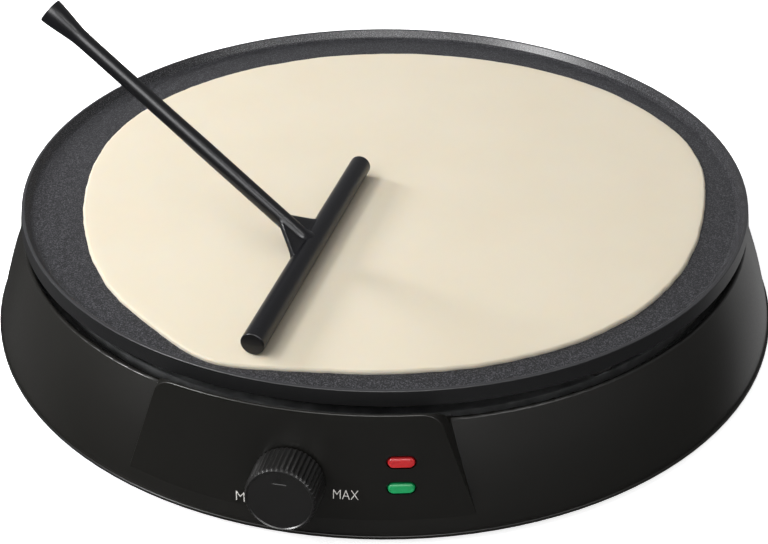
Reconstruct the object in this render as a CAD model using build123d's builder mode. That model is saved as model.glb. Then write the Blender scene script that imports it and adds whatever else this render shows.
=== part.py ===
from build123d import *
import os
from math import atan2, cos, degrees, radians, sin

# Electric crepe maker: a round moulded base with a cast baking plate, a
# thermostat knob on a raised front panel, and a T-shaped batter spreader.
# Millimetres, +Z up, origin on the table under the plate's centre. The control
# panel faces -Y. A "bearing" is an angle from the panel's middle (-Y) towards
# +X, an "angle" is measured from +X towards +Y.

os.makedirs("parts", exist_ok=True)

# ================================================================ main sizes
plate_radius = 165.0  # baking plate's outer wall at its lower edge, its widest
plate_wall_lean = 1.1  # the wall leans in towards the rim's top
plate_wall_drop = 6.2  # rim top to the wall's lower edge
plate_rim_land = 1.3  # narrow flat top of the rim
plate_rim_slope = 2.6  # sloping inside of the rim, measured in plan
plate_rim_height = 4.3  # rim above the baking surface
plate_thickness = 4.5  # cast wall under the baking surface
plate_gap = 7.0  # open ring between the plate's wall and the base

foot_height = 3.0  # rubber feet below the base's lower edge
skirt_height = 43.0  # lower edge to upper edge of the flared base
skirt_flare = 15.5  # skirt's lower edge outside its upper edge
skirt_bulge = 10.1  # middle control point of its curve, outside the upper edge
skirt_bulge_height = 22.0
lip_step = 1.0  # small step round the base's lower edge
lip_height = 1.6
lip_round = 0.4
wall = 2.5  # moulded wall

panel_top_width = 105.0
panel_bottom_width = 141.0
panel_top = 52.0  # panel heights are above the base's lower edge
panel_stand = 7.5  # panel's top edge outside the skirt's upper edge
panel_sink = 1.0  # its foot dives this far inside the skirt's lower edge
panel_foot = 3.0
panel_corner = 9.0
panel_edge = 0.5  # rounding along the panel's outer edges
panel_peak = 0.9  # turned profile rises above the panel's flat top
panel_fall = 5.0  # its top slopes down behind the edge
panel_clearance = 2.5  # panel's back to the baking plate

knob_height = 23.4  # knob axis on the panel's face
knob_radius = 13.4
knob_length = 14.3
knob_gap = 0.8  # knob to panel

lens_bearing = 13.3
red_lens_height = 32.5
green_lens_height = 21.5
lens_length = 10.4
lens_width = 4.8
lens_gap = 0.4  # lens to the window round it
lens_stand = 1.0  # lens dome above the panel

batter_thickness = 1.6
batter_margin = 16.7  # bare baking surface round the batter
batter_shift = (3.0, -6.0)  # the poured disc isn't quite centred

bar_length = 144.0
bar_radius = 4.8
bar_center = (-16.2, -74.0)
bar_angle = 85.9
handle_length = 141.0  # from the bar's axis
handle_rise = 41.0  # handle above the baking surface, degrees
handle_radius = 3.55

# ================================================================ clearances
slip = 0.1  # pieces that slide together at assembly
running = 0.05  # radial, the turning spindle in its bush
rest_gap = 0.2  # spreader over the batter
screw_slack = 0.2  # radial, screw in a through hole
screw_end_gap = 0.5  # screw's end to the bottom of its thread

# ================================================================ radii
plate_floor_radius = plate_radius - plate_wall_lean - plate_rim_land - plate_rim_slope
batter_radius = plate_floor_radius - batter_margin
skirt_top_radius = plate_radius
skirt_bulge_radius = skirt_top_radius + skirt_bulge
skirt_bottom_radius = skirt_top_radius + skirt_flare
lip_radius = skirt_bottom_radius + lip_step
panel_top_radius = skirt_top_radius + panel_stand
panel_foot_radius = skirt_bottom_radius - panel_sink
flange_width = 22.0  # flange inside the skirt that carries the baking plate
flange_inner_radius = skirt_top_radius - flange_width

# ================================================================ levels
base_z = foot_height
skirt_top = base_z + skirt_height
rim_z = skirt_top + plate_gap + plate_wall_drop
floor_z = rim_z - plate_rim_height
under_z = floor_z - plate_thickness
batter_z = floor_z + batter_thickness
flange_drop = 7.0  # inner flange below the skirt's upper edge
flange_z = skirt_top - flange_drop
flange_under = flange_z - wall
cover_z = base_z + 1.0
cover_thickness = 2.2
cover_top = cover_z + cover_thickness


# ================================================================ helpers
screw_slot = 0.6  # cross recess of the small screws


def skirt_radius(z):
    """Outside radius of the skirt's curve at a level."""
    low = base_z + lip_height
    share = (z - low) / (skirt_top - low)
    bulge = (base_z + skirt_bulge_height - low) / (skirt_top - low)
    bend = 1 - 2 * bulge
    t = share / bulge / 2 if abs(bend) < 1e-9 else (-bulge + (bulge**2 + bend * share) ** 0.5) / bend
    flare = (1 - t) ** 2 * skirt_bottom_radius + t**2 * skirt_top_radius
    return flare + 2 * t * (1 - t) * skirt_bulge_radius


def polar(radius, angle):
    """Point in plan at a radius and an angle from +X."""
    return (radius * cos(radians(angle)), radius * sin(radians(angle)))


def side_plane(angle):
    """Upright plane through the axis: local x runs outwards, local y is up."""
    out = (cos(radians(angle)), sin(radians(angle)), 0)
    return Plane(origin=(0, 0, 0), x_dir=out, z_dir=(out[1], -out[0], 0))


panel_tilt = degrees(atan2(panel_foot_radius - panel_top_radius, panel_top - panel_foot))


def panel_radius(height):
    """Radius of the panel's outer face at a height above the base's lower edge."""
    share = (height - panel_foot) / (panel_top - panel_foot)
    return panel_foot_radius + share * (panel_top_radius - panel_foot_radius)


def panel_plane(bearing, height, stand):
    """Plane parallel to the panel's face, moved out from it by stand."""
    turn, tilt = radians(bearing), radians(panel_tilt)
    radius = panel_radius(height)
    spot = Plane(
        origin=(radius * sin(turn), -radius * cos(turn), base_z + height),
        x_dir=(cos(turn), sin(turn), 0),
        z_dir=(sin(turn) * cos(tilt), -cos(turn) * cos(tilt), sin(tilt)),
    )
    return spot.offset(stand)


def knob_plane(stand):
    """Plane square to the knob's axis, at a distance out from the panel's face."""
    return panel_plane(0, knob_height, stand)


def make_screws(heads, shank_radius, shank_length, head_radius, head_height, slot=screw_slot):
    """Pan-head screws: each plane in heads lies under a head and faces out of it."""
    with BuildPart() as screws:
        with BuildSketch(*heads):
            Circle(head_radius)
        extrude(amount=head_height)
        fillet(screws.edges().filter_by(GeomType.CIRCLE), head_height * 0.3)
        with BuildSketch(*heads):
            Circle(shank_radius)
        extrude(amount=-shank_length)
        with BuildSketch(*[head.offset(head_height) for head in heads]):
            Rectangle(head_radius * 1.2, slot)
            Rectangle(slot, head_radius * 1.2)
        extrude(amount=-head_height / 2, mode=Mode.SUBTRACT)
    return screws.part


def level_planes(z, radius, count, start, up=True):
    """Level planes on a circle, facing up or down."""
    spots = [polar(radius, start + number * 360 / count) for number in range(count)]
    facing = (0, 0, 1 if up else -1)
    return [Plane(origin=(x, y, z), x_dir=(1, 0, 0), z_dir=facing) for x, y in spots]


# ================================================================ housing
post_radius = 4.2
post_inset = 12.0
post_circle = skirt_top_radius - post_inset
post_count = 6
post_bore = 1.4
post_bore_depth = 14.0
plate_screw_circle = skirt_top_radius - 15.0
plate_screw_count = 4
plate_screw_start = 45.0
plate_screw_radius = 2.0
rib_thickness = 1.8
rib_count = 24
rib_reach = 9.0
rib_drop = 18.0
edge_round = 0.9
panel_sector = 60.0  # part of the circle that holds the panel, degrees
spindle_hole = 4.2
inlet_z = base_z + 15.0
inlet_pad_radius = 12.5
inlet_pad_face = skirt_bottom_radius - 0.5  # the flat pad's face, from the axis
inlet_pad_depth = 10.0
gland_neck_radius = 6.0
lamp_boss_radius = 3.0
lamp_boss_spread = 14.0  # each side of the lamps
lamp_boss_depth = 8.0
lamp_screw_radius = 1.2
lamp_slot_sector = 8.4  # part of the circle left open for the lamps, degrees
lamp_slot_inset = 6.0
lamp_slot_radius = skirt_top_radius - lamp_slot_inset
lamp_slot_wall = wall - 0.1
cover_gap = 0.3  # bottom cover to the walls above it
cover_slack = 0.8  # and to the skirt round it
cover_rim_height = 3.0
cover_rim_thickness = 2.0
cover_radius = skirt_bottom_radius - wall - cover_slack
cover_rim_radius = cover_radius - cover_rim_thickness / 2


def panel_outline(inset):
    """Front view of the panel between its side walls, ahead of the base."""
    half_top = panel_top_width / 2 - inset
    half_bottom = panel_bottom_width / 2 - inset
    with BuildSketch(Plane.XZ.offset(lip_radius)) as outline:
        with BuildLine():
            Polyline(
                (-half_bottom, base_z + panel_foot - wall),
                (half_bottom, base_z + panel_foot - wall),
                (half_top, base_z + panel_top),
                (-half_top, base_z + panel_top),
                close=True,
            )
        make_face()
        fillet(outline.vertices().group_by(Axis.Y)[-1], max(panel_corner - inset, wall))
    return outline.sketch


def panel_solid(profile, inset):
    """A sector turned from a profile, cut to the panel's outline by its side walls."""
    with BuildPart() as sector:
        with BuildSketch(side_plane(-90 - panel_sector / 2)):
            with BuildLine():
                Polyline(*profile, close=True)
            make_face()
        revolve(axis=Axis.Z, revolution_arc=panel_sector)
    with BuildPart() as block:
        add(panel_outline(inset))
        extrude(amount=lip_radius / 2, dir=(0, 1, 0))
        add(sector.part, mode=Mode.INTERSECT)
    return block.part


panel_back = plate_radius + panel_clearance
hollow_foot = (lip_height + panel_foot) / 2
cover_room = cover_top + cover_rim_height + 2 * cover_gap  # inner walls stay above it
panel_block = panel_solid(
    [
        (skirt_top_radius - wall, cover_room),
        (skirt_bottom_radius - wall, cover_room),
        (skirt_bottom_radius - wall / 2, base_z + panel_foot),
        (panel_foot_radius, base_z + panel_foot),
        (panel_radius(panel_top + panel_peak), base_z + panel_top + panel_peak),
        (panel_back, base_z + panel_top - panel_fall),
        (panel_back, skirt_top),
        (skirt_top_radius - wall, skirt_top),
    ],
    inset=0,
)
panel_hollow = panel_solid(
    [
        (flange_inner_radius, base_z + hollow_foot),
        (panel_radius(hollow_foot) - wall, base_z + hollow_foot),
        (panel_radius(flange_under - base_z) - wall, flange_under),
        (flange_inner_radius, flange_under),
    ],
    inset=wall,
)
panel_recess = panel_solid(
    [
        (flange_inner_radius, flange_z),
        (panel_radius(flange_z - base_z) - wall, flange_z),
        (panel_radius(panel_top + wall) - wall, base_z + panel_top + wall),
        (flange_inner_radius, base_z + panel_top + wall),
    ],
    inset=wall,
)

with BuildPart() as panel:
    add(panel_block)
    panel_face = panel.faces().filter_by(GeomType.CONE).sort_by(SortBy.AREA)[-1]
    fillet(panel_face.edges().sort_by(Axis.Z)[1:], panel_edge)

with BuildPart() as housing:
    # flared skirt with its lip
    with BuildSketch(Plane.XZ) as section:
        with BuildLine():
            Polyline(
                (skirt_bottom_radius - wall, base_z + lip_height),
                (skirt_bottom_radius - wall, base_z),
                (lip_radius, base_z),
                (lip_radius, base_z + lip_height),
                (skirt_bottom_radius, base_z + lip_height),
            )
            Bezier(
                (skirt_bottom_radius, base_z + lip_height),
                (skirt_bulge_radius, base_z + skirt_bulge_height),
                (skirt_top_radius, skirt_top),
            )
            Line((skirt_top_radius, skirt_top), (skirt_top_radius - wall, skirt_top))
            Bezier(
                (skirt_top_radius - wall, skirt_top),
                (skirt_bulge_radius - wall, base_z + skirt_bulge_height),
                (skirt_bottom_radius - wall, base_z + lip_height),
            )
        make_face()
        fillet(section.vertices().group_by(Axis.Y)[-1], edge_round)
        fillet(section.vertices().group_by(Axis.X)[-1], lip_round)
    revolve(axis=Axis.Z)

    # flange that carries the baking plate
    with BuildSketch(Plane.XY.offset(flange_under)):
        Circle(skirt_radius(flange_z) - wall / 2)
        Circle(flange_inner_radius, mode=Mode.SUBTRACT)
    extrude(amount=wall)

    # stiffening ribs between skirt and flange, all round but behind the panel
    corner = skirt_radius(flange_under) - wall / 2
    rib_foot = skirt_radius(flange_under - rib_drop) - wall / 2
    for number in range(rib_count):
        angle = (number + 0.5) * 360 / rib_count
        if abs(angle - 270) < panel_sector / 2:
            continue
        with BuildSketch(side_plane(angle)):
            with BuildLine():
                Polyline(
                    (corner - rib_reach, flange_under + wall / 2),
                    (corner, flange_under + wall / 2),
                    (rib_foot, flange_under - rib_drop),
                    close=True,
                )
            make_face()
        extrude(amount=rib_thickness / 2, both=True)

    # raised control panel: its skin, the hollow behind it and the recess above
    add(panel.part)
    add(panel_hollow, mode=Mode.SUBTRACT)
    add(panel_recess, mode=Mode.SUBTRACT)

    # slot in the flange for the upper lamp and its carrier
    slot_start = lens_bearing - lamp_slot_sector / 2 - 90
    with BuildSketch(side_plane(slot_start)):
        with BuildLine():
            Polyline(
                (lamp_slot_radius, flange_under - wall),
                (panel_radius(flange_under - wall - base_z) - lamp_slot_wall, flange_under - wall),
                (panel_radius(flange_z + wall - base_z) - lamp_slot_wall, flange_z + wall),
                (lamp_slot_radius, flange_z + wall),
                close=True,
            )
        make_face()
    revolve(axis=Axis.Z, revolution_arc=lamp_slot_sector, mode=Mode.SUBTRACT)

    # posts for the bottom cover's screws
    with BuildSketch(Plane.XY.offset(cover_top)):
        with PolarLocations(post_circle, post_count):
            Circle(post_radius)
    extrude(amount=flange_under + wall / 2 - cover_top)
    with BuildSketch(Plane.XY.offset(cover_top)):
        with PolarLocations(post_circle, post_count):
            Circle(post_bore)
    extrude(amount=post_bore_depth, mode=Mode.SUBTRACT)

    # holes for the baking plate's screws
    with PolarLocations(plate_screw_circle, plate_screw_count, start_angle=plate_screw_start):
        Hole(plate_screw_radius + screw_slack)

    # spindle hole and lens windows in the panel
    with BuildSketch(knob_plane(wall)):
        Circle(spindle_hole)
    extrude(amount=-3 * wall, mode=Mode.SUBTRACT)
    lens_heights = (red_lens_height, green_lens_height)
    with BuildSketch(*[panel_plane(lens_bearing, height, wall) for height in lens_heights]):
        SlotOverall(lens_length + 2 * lens_gap, lens_width + 2 * lens_gap)
    extrude(amount=-3 * wall, mode=Mode.SUBTRACT)

    # bosses for the lamp carrier, behind the panel
    lamp_height = sum(lens_heights) / 2
    with BuildSketch(panel_plane(lens_bearing, lamp_height, -lamp_boss_depth)):
        with Locations((-lamp_boss_spread, 0), (lamp_boss_spread, 0)):
            Circle(lamp_boss_radius)
    extrude(amount=lamp_boss_depth - wall / 2)
    with BuildSketch(panel_plane(lens_bearing, lamp_height, -lamp_boss_depth)):
        with Locations((-lamp_boss_spread, 0), (lamp_boss_spread, 0)):
            Circle(lamp_screw_radius)
    extrude(amount=lamp_boss_depth - 2 * wall, mode=Mode.SUBTRACT)

    # flat pad at the back for the cord's gland
    with BuildSketch(Plane.XZ.offset(-inlet_pad_face)):
        with Locations((0, inlet_z)):
            Circle(inlet_pad_radius)
        with Locations((0, cover_room - inlet_pad_radius)):
            Rectangle(2 * inlet_pad_radius, 2 * inlet_pad_radius, mode=Mode.SUBTRACT)
    extrude(amount=inlet_pad_depth)
    with BuildSketch(Plane.XZ.offset(-inlet_pad_face)):
        with Locations((0, inlet_z)):
            Circle(gland_neck_radius + slip)
    extrude(amount=inlet_pad_depth, mode=Mode.SUBTRACT)
housing.part.label = "housing"
export_step(housing.part, "parts/housing.step")

# ================================================================ bottom cover and feet
foot_setback = 22.5
foot_circle = skirt_bottom_radius - foot_setback
foot_start = 45.0
foot_radius = 9.0
foot_neck_radius = 4.0
foot_bulb_radius = 5.4
foot_seat_depth = 0.8
foot_bulb_taper = 20.0
cover_screw_head = 3.2
cover_screw_head_height = 1.6
cover_screw_length = 14.0
vent_width = 4.0
vent_length = 26.0
block_setback = 33.0
terminal_block_y = plate_radius - block_setback
vent_inset = 28.0  # outer ring of slots inside the terminal block
vent_rings = {60.0: 12, terminal_block_y - vent_inset: 18}  # circle radius and how many slots
block_screw_radius = 1.5

with BuildPart() as bottom_cover:
    with BuildSketch(Plane.XY.offset(cover_z)):
        Circle(cover_radius)
    extrude(amount=cover_thickness)
    with BuildSketch(Plane.XY.offset(cover_top)):
        Circle(cover_rim_radius)
        Circle(cover_rim_radius - cover_rim_thickness, mode=Mode.SUBTRACT)
    extrude(amount=cover_rim_height)
    # raised seats that hold the feet's necks
    with BuildSketch(Plane.XY.offset(cover_top)):
        with PolarLocations(foot_circle, 4, start_angle=foot_start):
            Circle(foot_radius)
    extrude(amount=foot_seat_depth)
    with BuildSketch(Plane.XY.offset(cover_z)):
        with PolarLocations(foot_circle, 4, start_angle=foot_start):
            Circle(foot_neck_radius + slip)
        with PolarLocations(post_circle, post_count):
            Circle(post_bore + screw_slack)
        for circle, count in vent_rings.items():
            with PolarLocations(circle, count, start_angle=180 / count):
                SlotOverall(vent_length, vent_width)
        with Locations((0, terminal_block_y)):
            Circle(block_screw_radius)
    extrude(amount=cover_thickness + foot_seat_depth, mode=Mode.SUBTRACT)
bottom_cover.part.label = "bottom_cover"
export_step(bottom_cover.part, "parts/bottom_cover.step")

foot_names = ["rear_right", "rear_left", "front_left", "front_right"]
for name, seat in zip(foot_names, level_planes(0, foot_circle, 4, foot_start)):
    with BuildPart() as foot:
        with BuildSketch(seat):
            Circle(foot_radius)
        extrude(amount=cover_z)
        fillet(foot.edges().group_by(Axis.Z)[0], edge_round)
        with BuildSketch(seat.offset(cover_z)):
            Circle(foot_neck_radius)
        extrude(amount=cover_thickness + foot_seat_depth)
        with BuildSketch(seat.offset(cover_top + foot_seat_depth)):
            Circle(foot_bulb_radius)
        extrude(amount=2 * cover_thickness, taper=foot_bulb_taper)
    foot.part.label = "foot_" + name
    export_step(foot.part, "parts/foot_" + name + ".step")

cover_screws = make_screws(
    level_planes(cover_z, post_circle, post_count, 0, up=False),
    post_bore,
    cover_screw_length,
    cover_screw_head,
    cover_screw_head_height,
)
cover_screws.label = "cover_screws"
export_step(cover_screws, "parts/cover_screws.step")

# ================================================================ baking plate
rim_round = 0.4
floor_round = 2.0  # fillet where the rim's slope meets the baking surface
land_inset = 65.0
land_radius = plate_radius - land_inset  # middle of the cast land that holds the heater
land_width = 26.0
land_depth = 3.5
land_root = 0.5  # land's root inside the cast wall
land_z = under_z - land_depth
heater_radius = 3.5
heater_gap_angle = 40.0  # open part of the heater's ring, at the back
screw_boss_radius = 5.5
screw_boss_foot = flange_z + 4.8
thread_depth = 7.0
cast_rib_count = 12
cast_rib_width = 2.0
boss_setback = 60.5  # thermostat's boss behind the panel's foot
thermostat_boss = (-20.0, boss_setback - panel_foot_radius)
fuse_spot = (34.0, 42.0 - land_radius)
fuse_screw_offset = 9.2
earth_spot = (-52.0, land_radius - 56.0)
small_boss_radius = 5.0
small_bore = 1.3
small_thread_depth = 5.0
small_head_radius = 2.4
small_head_height = 1.6
clip_count = 4  # clips that hold the heater
clip_screw_reach = 8.5  # clip's screws to the heater's centre line
small_bosses = (thermostat_boss, (fuse_spot[0], fuse_spot[1] + fuse_screw_offset), earth_spot)

with BuildPart() as baking_plate:
    with BuildSketch(Plane.XZ) as section:
        with BuildLine():
            Polyline(
                (0, under_z),
                (0, floor_z),
                (plate_floor_radius, floor_z),
                (plate_floor_radius + plate_rim_slope, rim_z),
                (plate_radius - plate_wall_lean, rim_z),
                (plate_radius, rim_z - plate_wall_drop),
                (plate_floor_radius, under_z),
                close=True,
            )
        make_face()
        fillet(section.vertices().group_by(Axis.Y)[-1], rim_round)
        fillet(section.vertices().group_by(Axis.X)[-1], rim_round)
        surface_edge = section.vertices().filter_by_position(Axis.Y, floor_z - slip, floor_z + slip)
        fillet(surface_edge.sort_by(Axis.X)[-1], floor_round)
    revolve(axis=Axis.Z)
    # land round the heater, with its half-round seat
    with BuildSketch(Plane.XZ):
        with Locations((land_radius, under_z - (land_depth - land_root) / 2)):
            Rectangle(land_width, land_depth + land_root)
        with Locations((land_radius, land_z)):
            Circle(heater_radius + slip, mode=Mode.SUBTRACT)
    revolve(axis=Axis.Z)
    # cast ribs between the centre and the land
    with BuildSketch(Plane.XY.offset(under_z - land_depth / 2)):
        with PolarLocations(land_radius / 2, cast_rib_count, start_angle=180 / cast_rib_count):
            Rectangle(land_radius - land_width, cast_rib_width)
        Circle(land_radius / 6)
    extrude(until=Until.NEXT)
    # screw bosses
    with BuildSketch(Plane.XY.offset(screw_boss_foot)):
        with PolarLocations(plate_screw_circle, plate_screw_count, start_angle=plate_screw_start):
            Circle(screw_boss_radius)
    extrude(until=Until.NEXT)
    with BuildSketch(Plane.XY.offset(land_z)):
        with Locations(*small_bosses):
            Circle(small_boss_radius)
    extrude(until=Until.NEXT)
    with BuildSketch(Plane.XY.offset(screw_boss_foot)):
        with PolarLocations(plate_screw_circle, plate_screw_count, start_angle=plate_screw_start):
            Circle(plate_screw_radius)
    extrude(amount=thread_depth, mode=Mode.SUBTRACT)
    with BuildSketch(Plane.XY.offset(land_z)):
        with Locations(*small_bosses):
            Circle(small_bore)
        for reach in (-clip_screw_reach, clip_screw_reach):
            with PolarLocations(land_radius + reach, clip_count):
                Circle(small_bore)
    extrude(amount=small_thread_depth, mode=Mode.SUBTRACT)
baking_plate.part.label = "baking_plate"
export_step(baking_plate.part, "parts/baking_plate.step")

# ================================================================ heater
heater_bend = 10.0
heater_drop = 6.0
pin_radius = 1.6
pin_length = 9.0
spade_sheet = 0.8
spade_width = 6.3
ring_start = 90 + heater_gap_angle / 2
heater_ends = []
for side in (1, -1):
    angle = 90 + side * heater_gap_angle / 2
    end = Vector(*polar(land_radius, angle), land_z)
    into_gap = Vector(side * sin(radians(angle)), -side * cos(radians(angle)), 0)
    heater_ends.append((end, into_gap))

with BuildPart() as heating_element:
    with BuildLine() as route:
        first, first_way = heater_ends[0]
        last, last_way = heater_ends[1]
        down = Vector(0, 0, -1)
        foot_first = first + first_way * heater_bend + down * heater_bend
        foot_last = last + last_way * heater_bend + down * heater_bend
        Line(foot_first + down * heater_drop, foot_first)
        TangentArc(foot_first, first, tangent=-down)
        CenterArc((0, 0, land_z), land_radius, ring_start, 360 - heater_gap_angle)
        TangentArc(last, foot_last, tangent=last_way)
        Line(foot_last, foot_last + down * heater_drop)
    with BuildSketch(Plane(origin=foot_first + down * heater_drop, z_dir=(0, 0, 1))):
        Circle(heater_radius)
    sweep(path=route.line)
heating_element.part.label = "heating_element"
export_step(heating_element.part, "parts/heating_element.step")

pin_planes = [
    Plane(origin=foot + down * heater_drop, x_dir=(1, 0, 0), z_dir=(0, 0, -1))
    for foot in (foot_first, foot_last)
]
with BuildPart() as heater_pins:
    with BuildSketch(*pin_planes):
        Circle(pin_radius)
    extrude(amount=pin_length)
    with BuildSketch(*[spot.offset(pin_length / 3) for spot in pin_planes]):
        Rectangle(spade_sheet, spade_width)
    extrude(amount=pin_length)
heater_pins.part.label = "heater_pins"
export_step(heater_pins.part, "parts/heater_pins.step")

clip_sector = 5.8  # clip's width, degrees round the ring
clip_sheet = 1.0
clip_inset = 0.5  # clip's ends inside the land's edges
with BuildPart() as heater_clips:
    for number in range(clip_count):
        with BuildSketch(side_plane(number * 360 / clip_count - clip_sector / 2)):
            with Locations((land_radius, land_z)):
                Circle(heater_radius + clip_sheet)
            with Locations((land_radius, land_z + land_depth)):
                Rectangle(3 * land_depth, 2 * land_depth, mode=Mode.SUBTRACT)
            with Locations((land_radius, land_z - clip_sheet / 2)):
                Rectangle(land_width - 2 * clip_inset, clip_sheet)
            with Locations((land_radius, land_z)):
                Circle(heater_radius, mode=Mode.SUBTRACT)
        revolve(axis=Axis.Z, revolution_arc=clip_sector)
    for reach in (-clip_screw_reach, clip_screw_reach):
        with PolarLocations(land_radius + reach, clip_count):
            Hole(small_bore + screw_slack)
heater_clips.part.label = "heater_clips"
export_step(heater_clips.part, "parts/heater_clips.step")

clip_screw_length = 5.0
clip_heads = [
    head
    for reach in (-clip_screw_reach, clip_screw_reach)
    for head in level_planes(land_z - clip_sheet, land_radius + reach, clip_count, 0, up=False)
]
clip_screws = make_screws(
    clip_heads, small_bore, clip_screw_length, small_head_radius, small_head_height
)
clip_screws.label = "heater_clip_screws"
export_step(clip_screws, "parts/heater_clip_screws.step")

# ================================================================ heat shield
shield_sheet = 0.8
shield_radius = skirt_top_radius - 7.5
shield_lip = 4.0
shield_dish = 5.8  # middle of the shield below the flange
shield_seat = 3.0  # shield's flat rim reaches this far inside the flange
shield_flat_radius = flange_inner_radius - shield_seat
shield_slope = 6.0
terminal_window = (74.0, 18.0)
leg_window = (18.0, 26.0)
leg_window_shift = 4.0  # ahead of the thermostat's boss

with BuildPart() as heat_shield:
    with BuildSketch(Plane.XZ):
        with BuildLine():
            low = flange_z - shield_dish
            Polyline(
                (0, low),
                (shield_flat_radius - shield_slope, low),
                (shield_flat_radius, flange_z),
                (shield_radius, flange_z),
                (shield_radius, flange_z + shield_lip),
                (shield_radius - shield_sheet, flange_z + shield_lip),
                (shield_radius - shield_sheet, flange_z + shield_sheet),
                (shield_flat_radius, flange_z + shield_sheet),
                (shield_flat_radius - shield_slope, low + shield_sheet),
                (0, low + shield_sheet),
                close=True,
            )
        make_face()
    revolve(axis=Axis.Z)
    with BuildSketch(Plane.XY.offset(low)):
        with PolarLocations(plate_screw_circle, plate_screw_count, start_angle=plate_screw_start):
            Circle(plate_screw_radius + screw_slack)
        with Locations((0, land_radius - heater_radius)):
            Rectangle(*terminal_window)
        with Locations((thermostat_boss[0], thermostat_boss[1] - leg_window_shift)):
            Rectangle(*leg_window)
    extrude(amount=shield_dish + shield_lip, mode=Mode.SUBTRACT)
heat_shield.part.label = "heat_shield"
export_step(heat_shield.part, "parts/heat_shield.step")

spacer_radius = 5.5
shield_top = flange_z + shield_sheet
with BuildPart() as plate_spacers:
    with BuildSketch(Plane.XY.offset(shield_top)):
        with PolarLocations(plate_screw_circle, plate_screw_count, start_angle=plate_screw_start):
            Circle(spacer_radius)
            Circle(plate_screw_radius + screw_slack, mode=Mode.SUBTRACT)
    extrude(amount=screw_boss_foot - shield_top)
plate_spacers.part.label = "plate_spacers"
export_step(plate_spacers.part, "parts/plate_spacers.step")

plate_screw_bite = 5.5
plate_screw_head = 4.0
plate_screw_head_height = 2.6
plate_screw_slot = 0.9
plate_screws = make_screws(
    level_planes(flange_under, plate_screw_circle, plate_screw_count, plate_screw_start, up=False),
    plate_screw_radius,
    screw_boss_foot - flange_under + plate_screw_bite,
    plate_screw_head,
    plate_screw_head_height,
    slot=plate_screw_slot,
)
plate_screws.label = "plate_screws"
export_step(plate_screws, "parts/plate_screws.step")

# ================================================================ control knob
knob_draft = 0.35  # the barrel is this much wider at the panel
flute_radius = 0.7
flute_shift = 0.2  # flutes' centres outside the barrel
knob_flutes = 44
knob_wall = 1.8
knob_face = 2.4
knob_hub_radius = 5.2
knob_dish_radius = 12.0
knob_dish = 0.35
pointer_radius = 9.9
pointer_size = 1.5
spindle_radius = 3.0
spindle_flat = 2.0  # flat's distance from the spindle's axis
spindle_grip = 9.0  # length inside the knob

with BuildPart() as control_knob:
    with BuildSketch(knob_plane(knob_gap)):
        Circle(knob_radius + knob_draft)
        with PolarLocations(knob_radius + knob_draft + flute_shift, knob_flutes):
            Circle(flute_radius, mode=Mode.SUBTRACT)
    with BuildSketch(knob_plane(knob_gap + knob_length)):
        Circle(knob_radius)
        with PolarLocations(knob_radius + flute_shift, knob_flutes):
            Circle(flute_radius, mode=Mode.SUBTRACT)
    loft(ruled=True)
    with BuildSketch(knob_plane(knob_gap + knob_length)):
        Circle(knob_dish_radius)
    extrude(amount=-knob_dish, mode=Mode.SUBTRACT)
    # pointer mark sunk into the face
    with BuildSketch(knob_plane(knob_gap + knob_length - knob_dish)):
        with Locations((0, pointer_radius)):
            RegularPolygon(pointer_size, 3, rotation=90)
    extrude(amount=-knob_dish, mode=Mode.SUBTRACT)
    # hollow back with a hub for the spindle
    with BuildSketch(knob_plane(knob_gap)):
        Circle(knob_radius - knob_wall)
        Circle(knob_hub_radius, mode=Mode.SUBTRACT)
    extrude(amount=knob_length - knob_face, mode=Mode.SUBTRACT)
    with BuildSketch(knob_plane(knob_gap)):
        Circle(spindle_radius + running)
        with Locations((0, spindle_flat + running + spindle_radius)):
            Rectangle(3 * spindle_radius, 2 * spindle_radius, mode=Mode.SUBTRACT)
    extrude(amount=spindle_grip + slip, mode=Mode.SUBTRACT)
control_knob.part.label = "control_knob"
export_step(control_knob.part, "parts/control_knob.step")

knob_clip_sheet = 0.5
knob_clip_seat = 1.5  # from the hub's end
knob_clip_width = 5.0
with BuildPart() as knob_clip:
    with BuildSketch(knob_plane(knob_gap + knob_clip_seat)):
        Circle(knob_hub_radius + knob_clip_sheet)
        Circle(knob_hub_radius, mode=Mode.SUBTRACT)
        with Locations((0, -knob_hub_radius)):
            Rectangle(knob_hub_radius, knob_hub_radius, mode=Mode.SUBTRACT)
    extrude(amount=knob_clip_width)
knob_clip.part.label = "knob_clip"
export_step(knob_clip.part, "parts/knob_clip.step")

# ================================================================ thermostat
# Distances along the knob's axis are negative behind the panel's face.
bracket_face = -24.0
bracket_sheet = 1.5
bush_radius = 4.5
bush_neck = 3.9
bush_collar = 2.0
column = (-20.0, 0.0)  # stacked column beside the spindle
rivet_radius = 2.0
bead_radius = 5.0
spring_sheet = 0.5
spring_width = 6.0
bimetal_sheet = 1.0
first_bead = 6.0
second_bead = 3.0
third_bead = 6.0
contact_radius = 1.5
contact_height = 1.35
tab_end = -36.0
spring_tip = 6.0
spindle_chamfer = 0.4
adjusting_pin_radius = 1.2
adjusting_pin_stand = 1.6
bracket_width = 14.0
contact_setback = 4.0
bimetal_width = 8.0
bimetal_heel = 7.0  # behind the column
bimetal_tip = 11.0  # ahead of the spindle's axis
push_pin_setback = 1.0
push_pin_radius = 1.0

bracket_back = bracket_face - bracket_sheet
upper_spring_face = bracket_back - first_bead
lower_spring_face = upper_spring_face - spring_sheet - second_bead
bimetal_face = lower_spring_face - spring_sheet - third_bead
leg_face = bimetal_face - bimetal_sheet
leg_back = leg_face - bracket_sheet
pin_tip = upper_spring_face + running
spindle_end = pin_tip + adjusting_pin_stand

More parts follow.
